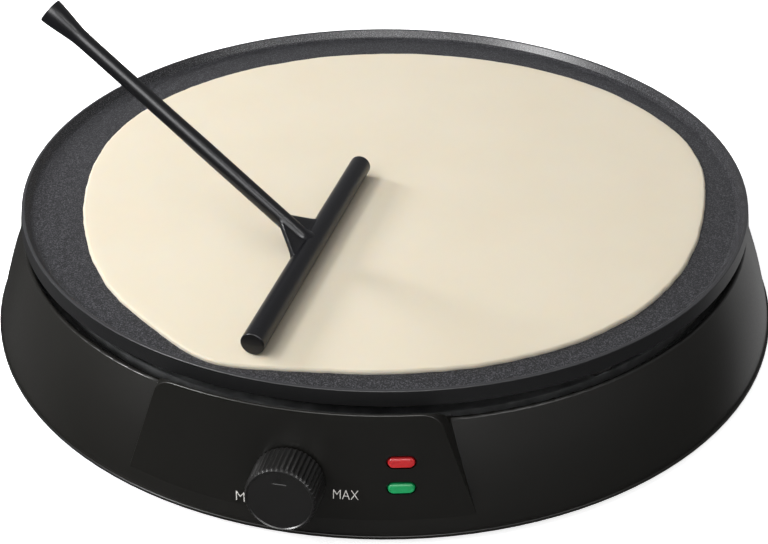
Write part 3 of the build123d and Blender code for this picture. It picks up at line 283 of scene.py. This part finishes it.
# knob: neutral black, a touch glossier, so that its flutes catch light lines
knobLook = {
    "dark": "#161514", "light": "#1b1a19", "cloudSize": 20,
    "roughness": 0.34, "glossSpread": 0.06, "specular": 0.4,
    "grainSize": 0.7, "grainStrength": 0.4, "grainDepth": 0.05,
}
# spreader: cool black nylon with a soft streak of light along its round bars
wiperLook = {
    "dark": "#111114", "light": "#161619", "cloudSize": 30,
    "roughness": 0.3, "glossSpread": 0.05, "specular": 0.3,
    "grainSize": 0.9, "grainStrength": 0.3, "grainDepth": 0.05,
}
# feet and gland: dull dark rubber
rubberLook = {
    "dark": "#161616", "light": "#1c1c1c", "cloudSize": 12,
    "roughness": 0.72, "glossSpread": 0.08, "ior": 1.52,
    "grainSize": 0.5, "grainStrength": 0.5, "grainDepth": 0.05,
}
# terminal block and lamp carrier: undyed nylon, milky and slightly waxy
nylonLook = {
    "dark": "#d8d4c8", "light": "#e6e2d8", "cloudSize": 12,
    "roughness": 0.4, "glossSpread": 0.05, "ior": 1.53,
    "grainSize": 0.6, "grainStrength": 0.2, "grainDepth": 0.03,
}
blackMouldedPp = mouldedPlastic("blackMouldedPp", housingLook)
blackMouldedKnob = mouldedPlastic("blackMouldedKnob", knobLook)
blackMouldedNylon = mouldedPlastic("blackMouldedNylon", wiperLook)
mouldedRubber = mouldedPlastic("mouldedRubber", rubberLook)
naturalNylon = mouldedPlastic("naturalNylon", nylonLook)


# sprayed non-stick coating on cast aluminium: dark grey and softly glossy; the level baking
# surface and the inside of the rim carry fine lighter flecks, the wall outside stays plain,
# and the crest is painted lighter as a painted highlight along the rim's top edge
castCoatingLook = {
    "ior": 1.45, "specular": 0.38, "roughness": 0.38, "glossSpread": 0.05,
    "ground": "#1f1f21", "groundLight": "#252528", "cloudSize": 9,
    "fleck": "#6a6a6e", "fleckShare": 0.48, "fleckEdge": 0.24,
    "fleckSize": 0.52,  # drawn coarser than the real 0.3 mm flecks, so that they show
    "plain": "#171718", "bakingRadius": 162.6, "blend": 0.3,
    # crest colour: a painted highlight on the top of the rim
    "crestHighlight": "#3a3a3c", "crestHeight": 58.95, "crestBlend": 0.2,
    "peelSize": 1.6, "peelDepth": 0.05, "peelStrength": 0.4,
}


def castCoating(name, look):
    material, tree, shader, place = startMaterial(name, {"IOR": look["ior"], "Specular IOR Level": look["specular"]})
    level = addNode(tree, "ShaderNodeVectorMath", {"operation": "MULTIPLY", 1: (1, 1, 0)}, {0: place})
    reach = addNode(tree, "ShaderNodeVectorMath", {"operation": "LENGTH"}, {0: level.outputs["Vector"]})
    outside = addNode(tree, "ShaderNodeMapRange", {
        "From Min": (look["bakingRadius"] - look["blend"]) * mm, "From Max": look["bakingRadius"] * mm,
    }, {"Value": reach.outputs["Value"]})
    cloud = addNode(tree, "ShaderNodeTexNoise", {
        "Scale": scaleFor(look["cloudSize"]), "Detail": 4.0,
    }, {"Vector": place})
    ground = addNode(tree, "ShaderNodeMix", {
        "data_type": "RGBA", "A": toLinear(look["ground"]), "B": toLinear(look["groundLight"]),
    }, {"Factor": cloud.outputs["Fac"]})
    flecks = addNode(tree, "ShaderNodeTexNoise", {
        "Scale": scaleFor(look["fleckSize"]), "Detail": 2.0, "Roughness": 0.6,
    }, {"Vector": place})
    mask = addNode(tree, "ShaderNodeMapRange", {
        "From Min": look["fleckShare"], "From Max": look["fleckShare"] + look["fleckEdge"],
    }, {"Value": flecks.outputs["Fac"]})
    speckled = addNode(tree, "ShaderNodeMix", {"data_type": "RGBA", "B": toLinear(look["fleck"])}, {
        "Factor": mask.outputs["Result"], "A": ground.outputs[2],
    })
    coat = addNode(tree, "ShaderNodeMix", {"data_type": "RGBA", "B": toLinear(look["plain"])}, {
        "Factor": outside.outputs["Result"], "A": speckled.outputs[2],
    })
    height = addNode(tree, "ShaderNodeSeparateXYZ", {}, {"Vector": place})
    # painted highlight: the top of the rim, above the crest height, is painted lighter
    crestHighlightMask = addNode(tree, "ShaderNodeMapRange", {
        "From Min": look["crestHeight"] * mm, "From Max": (look["crestHeight"] + look["crestBlend"]) * mm,
    }, {"Value": height.outputs["Z"]})
    highlightedCoat = addNode(tree, "ShaderNodeMix", {"data_type": "RGBA", "B": toLinear(look["crestHighlight"])}, {
        "Factor": crestHighlightMask.outputs["Result"], "A": coat.outputs[2],
    })
    tree.links.new(highlightedCoat.outputs[2], shader.inputs["Base Color"])
    gloss = addNode(tree, "ShaderNodeMapRange", {
        "To Min": look["roughness"] - look["glossSpread"],
        "To Max": look["roughness"] + look["glossSpread"],
    }, {"Value": flecks.outputs["Fac"]})
    tree.links.new(gloss.outputs["Result"], shader.inputs["Roughness"])
    peel = addNode(tree, "ShaderNodeTexNoise", {
        "Scale": scaleFor(look["peelSize"]), "Detail": 2.0,
    }, {"Vector": place})
    bump = addNode(tree, "ShaderNodeBump", {
        "Strength": look["peelStrength"], "Distance": look["peelDepth"] * mm,
    }, {"Height": peel.outputs["Fac"]})
    tree.links.new(bump.outputs["Normal"], shader.inputs["Normal"])
    return material


speckledNonStick = castCoating("speckledNonStick", castCoatingLook)

# metals: each has its own size of grain, in which tone, gloss and a shallow relief vary together
metal = {"Metallic": 1.0}
metalGrain = {"detail": 3.0, "glossSpread": 0.08, "relief": 0.02, "reliefStrength": 0.2}
# pale grey with a fine even glitter
zincPlatedSteel = grainedFinish("zincPlatedSteel", metal, {
    "dark": "#b0aea6", "light": "#cfcdc6", "grainSize": 0.8, "roughness": 0.32, **metalGrain,
})
# cool grey with broad spangles
galvanisedSheet = grainedFinish("galvanisedSheet", metal, {
    "dark": "#a2a4a5", "light": "#c9cbcc", "grainSize": 6, "roughness": 0.38, **metalGrain,
})
# brown-grey, clouded by heat
heatTintedTube = grainedFinish("heatTintedTube", metal, {
    "dark": "#4a4440", "light": "#6d655d", "grainSize": 3, "roughness": 0.45, **metalGrain,
})
# warm yellow with fine tool marks
turnedBrass = grainedFinish("turnedBrass", metal, {
    "dark": "#c39a52", "light": "#dcb76c", "grainSize": 0.5, "roughness": 0.28, **metalGrain,
})
# nearly white and the brightest of them
silveredContact = grainedFinish("silveredContact", metal, {
    "dark": "#cfcfca", "light": "#e6e6e2", "grainSize": 0.4, "roughness": 0.25, **metalGrain,
})

# fired clay and woven glass: matt, with a fine sandy grain; the spacers under the hot plate are painted near black,
# as painted shade where they show in the gap under the plate
ceramic = {"IOR": 1.6}
ceramicGrain = {"detail": 4.0, "roughness": 0.71, "glossSpread": 0.09}
firedSteatite = grainedFinish("firedSteatite", ceramic, {
    "dark": "#cfc7b4", "light": "#e4dece", "grainSize": 0.5, **ceramicGrain,
})
# painted shade: the spacers' near-black tone stands in for the shade in the gap
paintedShadeSteatite = grainedFinish("paintedShadeSteatite", ceramic, {
    "dark": "#1c1916", "light": "#2a2622", "grainSize": 0.5, **ceramicGrain,
})
wovenGlassSleeve = grainedFinish("wovenGlassSleeve", ceramic, {
    "dark": "#bdb5a4", "light": "#e8e2d4", "grainSize": 0.7, **ceramicGrain,
})

# signal lenses: polycarbonate dyed through, deep in colour with a soft gleam; the lamps' glass is almost clear
dyedClear = {"IOR": 1.58, "Roughness": 0.3, "Specular IOR Level": 0.15, "Transmission Weight": 0.1}
blownClear = {"IOR": 1.58, "Roughness": 0.3, "Specular IOR Level": 0.5, "Transmission Weight": 0.9}
redPolycarbonate = grainedFinish("redPolycarbonate", dyedClear, {
    "dark": "#b81d22", "light": "#cc2629", "grainSize": 2.5, "detail": 2.0,
})
greenPolycarbonate = grainedFinish("greenPolycarbonate", dyedClear, {
    "dark": "#139450", "light": "#18a866", "grainSize": 2.5, "detail": 2.0,
})
blownLampGlass = grainedFinish("blownLampGlass", blownClear, {
    "dark": "#e8ddd0", "light": "#f4ece2", "grainSize": 2.5, "detail": 2.0,
})

# screen-printed ink: a thin flat light grey film, so its gloss is even and its edge is crisp
greyScreenInk = grainedFinish("greyScreenInk", {"IOR": 1.5, "Specular IOR Level": 0.3}, {
    "dark": "#bfbdb8", "light": "#cfcdc8", "grainSize": 0.6, "detail": 2.0, "roughness": 0.55, "glossSpread": 0.05,
})

# crepe batter: flour and milk, poured thin; cream, smooth, a little wet and slightly see-through at its edge
batterLook = {
    "dark": "#e3d6be", "light": "#e9deca", "cloudSize": 45,
    "dullest": 0.6, "wettest": 0.42, "filmSize": 22, "filmDepth": 0.1, "filmStrength": 0.2,
}


def pouredBatter(name, look):
    material, tree, shader, place = startMaterial(name, {
        "IOR": 1.38,
        "Specular IOR Level": 0.35,
        "Subsurface Weight": 0.4,
        "Subsurface Radius": (0.004, 0.003, 0.002),
        "Subsurface Scale": 0.8,
    })
    cloud = addNode(tree, "ShaderNodeTexNoise", {
        "Scale": scaleFor(look["cloudSize"]), "Detail": 3.0,
    }, {"Vector": place})
    tone = addNode(tree, "ShaderNodeMix", {
        "data_type": "RGBA", "A": toLinear(look["dark"]), "B": toLinear(look["light"]),
    }, {"Factor": cloud.outputs["Fac"]})
    tree.links.new(tone.outputs[2], shader.inputs["Base Color"])
    film = addNode(tree, "ShaderNodeTexNoise", {
        "Scale": scaleFor(look["filmSize"]), "Detail": 3.0,
    }, {"Vector": place})
    gloss = addNode(tree, "ShaderNodeMapRange", {
        "To Min": look["wettest"], "To Max": look["dullest"],
    }, {"Value": film.outputs["Fac"]})
    tree.links.new(gloss.outputs["Result"], shader.inputs["Roughness"])
    bump = addNode(tree, "ShaderNodeBump", {
        "Strength": look["filmStrength"], "Distance": look["filmDepth"] * mm,
    }, {"Height": film.outputs["Fac"]})
    tree.links.new(bump.outputs["Normal"], shader.inputs["Normal"])
    return material


crepeBatterWet = pouredBatter("crepeBatterWet", batterLook)
print("materials made")

weldDistance = 0.0001 * mm


# a closed piece from points in mm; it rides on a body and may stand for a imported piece;
# edges that bend by more than the crease, in degrees, stay sharp
def addPiece(name, points, faces, material, body, replaced=None, crease=32):
    mesh = bpy.data.meshes.new(name)
    mesh.from_pydata([Vector(point) * mm for point in points], [], faces)
    shape = bmesh.new()
    shape.from_mesh(mesh)
    bmesh.ops.remove_doubles(shape, verts=shape.verts, dist=weldDistance)
    bmesh.ops.recalc_face_normals(shape, faces=shape.faces)
    shape.to_mesh(mesh)
    shape.free()
    mesh.materials.append(material)
    mesh.shade_smooth()
    mesh.set_sharp_from_angle(angle=radians(crease))
    piece = bpy.data.objects.new(name, mesh)
    bpy.context.scene.collection.objects.link(piece)
    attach(piece, body)
    if replaced:
        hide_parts(replaced)
    return piece


# faces between rings of equal length that follow one another, with caps at the two ends
def loftFaces(rings, size, firstCap=True):
    faces = []
    for ring in range(rings - 1):
        low, high = ring * size, (ring + 1) * size
        for i in range(size):
            j = (i + 1) % size
            faces.append((low + i, low + j, high + j, high + i))
    if firstCap:
        faces.append(tuple(reversed(range(size))))
    faces.append(tuple(range((rings - 1) * size, rings * size)))
    return faces


# the panel's leaning face, by its radius at two heights above the housing's lower edge
panelForm = {"footRadius": 179.5, "topRadius": 172.5, "footHeight": 3.0, "topHeight": 52.0, "baseHeight": 3.0}
panelTilt = atan2(panelForm["footRadius"] - panelForm["topRadius"], panelForm["topHeight"] - panelForm["footHeight"])


def panelRadius(height):
    share = (height - panelForm["footHeight"]) / (panelForm["topHeight"] - panelForm["footHeight"])
    return panelForm["footRadius"] + share * (panelForm["topRadius"] - panelForm["footRadius"])


# three directions of the panel at a bearing: along it, up it, out of it
def panelAxes(bearing):
    turn = radians(bearing)
    along = Vector((cos(turn), sin(turn), 0))
    outward = Vector((sin(turn) * cos(panelTilt), -cos(turn) * cos(panelTilt), sin(panelTilt)))
    return along, outward.cross(along), outward


# a point on or off that face: bearing in degrees from its middle, height, stand off the face
def onPanel(bearing, height, stand):
    radius, turn = panelRadius(height), radians(bearing)
    foot = Vector((radius * sin(turn), -radius * cos(turn), panelForm["baseHeight"] + height))
    return foot + panelAxes(bearing)[2] * stand


# batter: a poured round with a slightly uneven outline and a rolled wet edge
batterForm = {
    "radius": 143.3,
    # cosine and sine parts of the outline, once to five times round
    "waves": [(3.4, -5.0), (-0.55, 1.2), (0.9, 1.75), (-1.2, -0.25), (-0.15, 0.9)],
    # bearing, half width and height of a local swelling
    "bulges": [(-115, 9, 5.8), (8, 16, 3.1)],
    "bearing": 11.35,
    # small ripples of the outline: their height, then the fineness and share of each
    "ripple": 0.4, "ripples": [(8, 1.0), (19, 0.6), (41, 0.4)],
    "floor": 54.91, "top": 56.5, "edgeWidth": 1.3,
    "swell": 0.05, "swellSize": 31, "swellSlice": 2,
    "steps": 900, "rings": 26, "ringSpread": 0.8, "edgeRings": 8,
}


# an angle in degrees brought between -180 and 180
def wrapped(angle):
    return (angle + 180) % 360 - 180


def batterRadius(form, angle):
    turned = wrapped(angle - form["bearing"])
    radius = form["radius"]
    for order, (cosine, sine) in enumerate(form["waves"], 1):
        radius += cosine * cos(radians(order * turned)) + sine * sin(radians(order * turned))
    for bearing, width, height in form["bulges"]:
        radius += height * exp(-(wrapped(turned - bearing) / width) ** 2)
    place = Vector((cos(radians(angle)), sin(radians(angle)), 0))
    return radius + form["ripple"] * sum(share * noise.noise(place * fineness) for fineness, share in form["ripples"])


def makeBatter(form):
    count, edge = form["steps"], form["edgeWidth"]
    outline = [batterRadius(form, 360 * i / count) for i in range(count)]
    thickness = form["top"] - form["floor"]
    points = []

    # ring of points at given radii; rise is the share of the batter's thickness
    def addRing(radii, rise):
        for i, radius in enumerate(radii):
            turn = 2 * pi * i / count
            x, y = radius * cos(turn), radius * sin(turn)
            place = Vector((x / form["swellSize"], y / form["swellSize"], form["swellSlice"]))
            wave = form["swell"] * noise.noise(place) * rise
            points.append((x, y, form["floor"] + max(0.0, thickness * rise + wave)))

    for ring in range(1, form["rings"]):
        share = (ring / form["rings"]) ** form["ringSpread"]
        addRing([(radius - edge) * share for radius in outline], 1.0)
    for ring in range(form["edgeRings"] + 1):
        turn = pi / 2 * ring / form["edgeRings"]
        addRing([radius + edge * (sin(turn) - 1) for radius in outline], cos(turn))
    return points, loftFaces(form["rings"] + form["edgeRings"], count)


points, faces = makeBatter(batterForm)
addPiece("pouredCrepe", points, faces, crepeBatterWet, "base", "crepe_batter", crease=60)
print("batter poured")

# thermostat knob: fluted barrel, bevelled crown, ringed face with a small arrowhead let into it
knobForm = {
    "height": 23.4, "gap": 0.8, "length": 14.3,
    "radius": 13.4, "draft": 0.35, "flutes": 44, "fluteDepth": 0.55, "fluteSharpness": 0.8, "steps": 8,
    # across the face and over its edge: radius, depth below the crown, share of the flutes' depth
    "face": [
        (11.85, 0.35, 0), (12.0, 0.23, 0), (12.1, 0.08, 0), (12.22, 0, 0), (12.35, 0, 0),
        (12.52, 0.06, 0), (12.95, 0.55, 0.25), (13.28, 0.9, 0.8), (13.42, 1.2, 1),
    ],
    "barrel": (0.3, 0.6, 0.97),  # places down the side, as shares of its length
    "skirtInset": 0.25, "skirtFlutes": 0.6,
    "hollowRadius": 11.6, "hollowTop": 12.7, "hubRadius": 5.2, "boreRadius": 3.1, "boreTop": 9.9,
    "arrow": [(-2.8, 6.6), (2.8, 6.6), (0, 11.0)], "arrowDepth": 0.16, "arrowBevel": 0.7,
    "weld": 1e-6,  # points of the face closer than this count as one
}


def makeKnob(form):
    along, up, outward = panelAxes(0)
    middle = onPanel(0, form["height"], 0)
    count = form["flutes"] * form["steps"]
    gap, top = form["gap"], form["gap"] + form["length"]

    # ring of points at a radius and a stand; cut is the share of the flutes' full depth
    def ring(radius, stand, cut=0):
        row = []
        for i in range(count):
            turn = 2 * pi * i / count
            wave = (0.5 + 0.5 * cos(form["flutes"] * turn)) ** form["fluteSharpness"]
            reach = radius - form["fluteDepth"] * cut * wave
            row.append(middle + along * reach * cos(turn) + up * reach * sin(turn) + outward * stand)
        return row

    rows = [ring(radius, top - depth, cut) for radius, depth, cut in form["face"]]
    for share in form["barrel"]:
        rows.append(ring(form["radius"] + form["draft"] * share, top + (gap - top) * share, 1))
    rows.append(ring(form["radius"] + form["draft"] - form["skirtInset"], gap, form["skirtFlutes"]))
    rows += [ring(form["hollowRadius"], gap), ring(form["hollowRadius"], form["hollowTop"])]
    rows += [ring(form["hubRadius"], form["hollowTop"]), ring(form["hubRadius"], gap)]
    rows += [ring(form["boreRadius"], gap), ring(form["boreRadius"], form["boreTop"])]
    points = [point for row in rows for point in row]
    faces = loftFaces(len(rows), count, firstCap=False)

    # face inside the first ring: flat, with the arrowhead sunk into it
    rimRadius, rimDepth = form["face"][0][:2]
    rim = [Vector((rimRadius * cos(2 * pi * i / count), rimRadius * sin(2 * pi * i / count))) for i in range(count)]
    arrow = [Vector(corner) for corner in form["arrow"]]
    heart = sum(arrow, Vector((0, 0))) / 3
    inner = [corner + (heart - corner).normalized() * form["arrowBevel"] for corner in arrow]
    edges = [(i, (i + 1) % count) for i in range(count)]
    for start in (count, count + 3):
        edges += [(start + i, start + (i + 1) % 3) for i in range(3)]
    cut = delaunay_2d_cdt(rim + arrow + inner, edges, [], 1, form["weld"])
    spots, tiles, sources = cut[0], cut[2], cut[3]
    offset = len(points)
    for spot, source in zip(spots, sources):
        sunk = any(index >= count + 3 for index in source)
        stand = top - rimDepth - (form["arrowDepth"] if sunk else 0)
        points.append(middle + along * spot.x + up * spot.y + outward * stand)
    faces += [tuple(offset + index for index in tile) for tile in tiles]
    return points, faces


points, faces = makeKnob(knobForm)
addPiece("flutedKnob", points, faces, blackMouldedKnob, "knob", "control_knob", crease=24)
print("knob made")

# spreader's handle: round stem on a flat web that fans out along the bar, and a flared end
handleForm = {
    "barMiddle": (-16.2, -74.0, 61.5), "barAngle": 85.9, "barRadius": 4.8,
    "rise": 41.0, "length": 141.0, "steps": 112,
    "webReach": 14.6, "webLeast": 0.5, "webTop": 19.6, "webHalf": 1.3,
    "webSquareness": 8, "blendSquareness": 9,  # powers of the web's section and of its join with the stem
    "crowding": 0.44,  # points stand closer together at the web's two edges
    # fillet at the bar: distance from the bar's side, and share of the swelling
    "fillet": [(0.0, 1.0), (0.35, 0.62), (0.8, 0.3), (1.4, 0.1), (2.2, 0.0)],
    "filletSwell": 0.9, "filletSpread": 0.4,
    "saddleRows": 9, "saddleReach": 9, "saddleLimit": 0.98, "sink": 0.25,
    "webPlaces": [9, 11, 13, 15, 16.5, 17.8, 18.8, 19.6, 20.6, 22, 26, 35, 48],
    # distance from the bar's axis and radius of the stem there
    "stem": [
        (0, 3.55), (60, 3.55), (66, 3.48), (78, 3.38), (107, 3.32), (119, 3.34), (123.5, 3.39), (126, 3.48),
        (127.5, 3.62), (129.5, 3.9), (133, 4.4), (136, 4.82), (138, 5.08), (139.4, 5.2), (140.75, 5.28),
    ],
    "endBevel": 0.25,
}


def handleAxes(form):
    turn, rise = radians(form["barAngle"]), radians(form["rise"])
    barWay = Vector((cos(turn), sin(turn), 0))
    stemWay = Vector((-sin(turn), cos(turn), 0)) * cos(rise) + Vector((0, 0, 1)) * sin(rise)
    return barWay, stemWay, barWay.cross(stemWay)


# radius of the stem at a distance, straight between the given places
def stemRadius(form, distance):
    places = form["stem"]
    for (start, low), (stop, high) in zip(places, places[1:]):
        if distance <= stop:
            return low + (high - low) * (distance - start) / (stop - start)
    return places[-1][1]


def makeHandle(form):
    barWay, stemWay, sideWay = handleAxes(form)
    middle = Vector(form["barMiddle"])
    foot, count, fillet = form["barRadius"], form["steps"], form["fillet"]
    square, blend = form["webSquareness"], form["blendSquareness"]
    places = [foot + step for step, share in fillet] + form["webPlaces"]
    places += [place for place, radius in form["stem"] if place > places[-1]] + [form["length"]]
    points = []
    for number, place in enumerate(places):
        radius = stemRadius(form, place)
        if number == len(places) - 1:
            radius -= form["endBevel"]
        spread = form["webReach"] * (form["webTop"] - place) / (form["webTop"] - foot)
        swell = fillet[number][1] * form["filletSwell"] if number < len(fillet) else 0
        for i in range(count):
            turn = 2 * pi * i / count
            turn -= form["crowding"] * sin(2 * turn)
            reach = radius + swell
            if spread > form["webLeast"]:
                across = abs(cos(turn)) / (spread + swell * form["filletSpread"])
                through = abs(sin(turn)) / (form["webHalf"] + swell)
                web = (across ** square + through ** square) ** (-1 / square)
                reach = (reach ** blend + web ** blend) ** (1 / blend)
            x, y = reach * cos(turn), reach * sin(turn)
            lift = place
            # near the bar the rows sag over its round side
            if number < form["saddleRows"]:
                saddle = sqrt(foot ** 2 - min(abs(y), foot * form["saddleLimit"]) ** 2)
                share = max(0.0, 1 - (place - foot) / form["saddleReach"])
                lift = place - (foot - saddle) * share - (form["sink"] if number == 0 else 0)
            points.append(middle + barWay * x + sideWay * y + stemWay * lift)
    return points, loftFaces(len(places), count)


points, faces = makeHandle(handleForm)
addPiece("spreaderStem", points, faces, blackMouldedNylon, "spreader", "spreader_handle", crease=40)
print("spreader's handle made")

# signal lenses: long domed pills with a flange behind the panel
lensForm = {
    "bearing": 13.3, "length": 10.4, "width": 4.8, "inset": 0.28,
    "heights": {"red_lens": 32.5, "green_lens": 21.5},
    "flange": 1.2, "flangeBack": -3.75, "flangeFace": -2.75,
    "domeFoot": -0.1, "domeTop": 0.9, "domeReach": 1.5, "domeRings": 9, "steps": 72,
}


def makeLens(form, height):
    along, up, outward = panelAxes(form["bearing"])
    middle = onPanel(form["bearing"], height, 0)
    half = (form["length"] - form["width"]) / 2

    def ring(inset, stand):
        row, radius = [], form["width"] / 2 - inset
        for i in range(form["steps"]):
            turn = 2 * pi * (i + 0.5) / form["steps"]
            x = radius * cos(turn) + (half if cos(turn) > 0 else -half)
            row.append(middle + along * x + up * radius * sin(turn) + outward * stand)
        return row

    rows = [ring(-form["flange"], form["flangeBack"]), ring(-form["flange"], form["flangeFace"])]
    rows.append(ring(form["inset"], form["flangeFace"]))
    for step in range(form["domeRings"] + 1):
        turn = pi / 2 * step / form["domeRings"]
        inset = form["inset"] + form["domeReach"] * (1 - cos(turn))
        rows.append(ring(inset, form["domeFoot"] + (form["domeTop"] - form["domeFoot"]) * sin(turn)))
    points = [point for row in rows for point in row]
    return points, loftFaces(len(rows), form["steps"])


for name, finish in (("red_lens", redPolycarbonate), ("green_lens", greenPolycarbonate)):
    points, faces = makeLens(lensForm, lensForm["heights"][name])
    addPiece(name.replace("_lens", "SignalLens"), points, faces, finish, "base", name, crease=50)
print("lenses made")

# the two printed words at the ends of the knob's sweep; arc is where a word starts, in mm from the knob's axis
wordForm = {
    "words": {"MIN": {"arc": -21.3, "low": 9.2}, "MAX": {"arc": 16.1, "low": 16.3}},
    "letterHeight": 4.0, "width": 9.4, "film": 0.05, "sunk": 0.02,
    "thin": -0.016, "curveSteps": 3,
}


# a word's letters as a solid in the font's own units
def makeLetters(form, word):
    curve = bpy.data.curves.new("word", "FONT")
    curve.body = word
    curve.size = 1.0
    curve.extrude = 0.5
    curve.offset = form["thin"]
    curve.resolution_u = form["curveSteps"]
    carrier = bpy.data.objects.new("word", curve)
    bpy.context.scene.collection.objects.link(carrier)
    bpy.context.view_layer.update()
    letters = bpy.data.meshes.new_from_object(carrier)
    bpy.data.objects.remove(carrier)
    return [vertex.co.copy() for vertex in letters.vertices], [tuple(face.vertices) for face in letters.polygons]


# the letters stretched to their size and bent round the panel, as a film that starts just under its face
def makeWord(form, word):
    spots, faces = makeLetters(form, word)
    left, right = min(s.x for s in spots), max(s.x for s in spots)
    bottom, top = min(s.y for s in spots), max(s.y for s in spots)
    plan = form["words"][word]
    points = []
    for spot in spots:
        arc = plan["arc"] + form["width"] * (spot.x - left) / (right - left)
        height = plan["low"] + form["letterHeight"] * (spot.y - bottom) / (top - bottom)
        stand = form["film"] if spot.z > 0 else -form["sunk"]
        points.append(onPanel(degrees(arc / panelRadius(height)), height, stand))
    return points, faces


for word in wordForm["words"]:
    points, faces = makeWord(wordForm, word)
    addPiece("printed" + word.title(), points, faces, greyScreenInk, "base", None, crease=20)
print("words printed")

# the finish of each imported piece; screws, pins, clips and brackets that aren't named are zinc plated
finishes = {
    "housing": blackMouldedPp, "bottom_cover": blackMouldedPp, "cord_gland": mouldedRubber,
    "foot_rear_right": mouldedRubber, "foot_rear_left": mouldedRubber,
    "foot_front_left": mouldedRubber, "foot_front_right": mouldedRubber,
    "baking_plate": speckledNonStick, "control_knob": blackMouldedKnob,
    "spreader_bar": blackMouldedNylon, "spreader_handle": blackMouldedNylon,
    "heating_element": heatTintedTube, "heat_shield": galvanisedSheet, "heater_clips": galvanisedSheet,
    "thermal_fuse": galvanisedSheet, "fuse_clip": galvanisedSheet,
    "plate_spacers": paintedShadeSteatite, "ceramic_beads": firedSteatite, "push_pin": firedSteatite,
    "adjusting_pin": firedSteatite, "fuse_sleeve": wovenGlassSleeve,
    "spindle_bush": turnedBrass, "contact_springs": turnedBrass, "column_rivet": turnedBrass,
    "block_screws": turnedBrass, "earth_tag": turnedBrass, "contact_buttons": silveredContact,
    "lamp_carrier": naturalNylon, "terminal_block": naturalNylon,
    "red_lens": redPolycarbonate, "green_lens": greenPolycarbonate,
    "red_lamp": blownLampGlass, "green_lamp": blownLampGlass,
    "crepe_batter": crepeBatterWet,
}
packedCrease = 32
for name, piece in nodes.items():
    piece.data.materials.clear()
    piece.data.materials.append(finishes.get(name, zincPlatedSteel))
    piece.data.shade_smooth()
    piece.data.set_sharp_from_angle(angle=radians(packedCrease))
print("packed pieces finished")
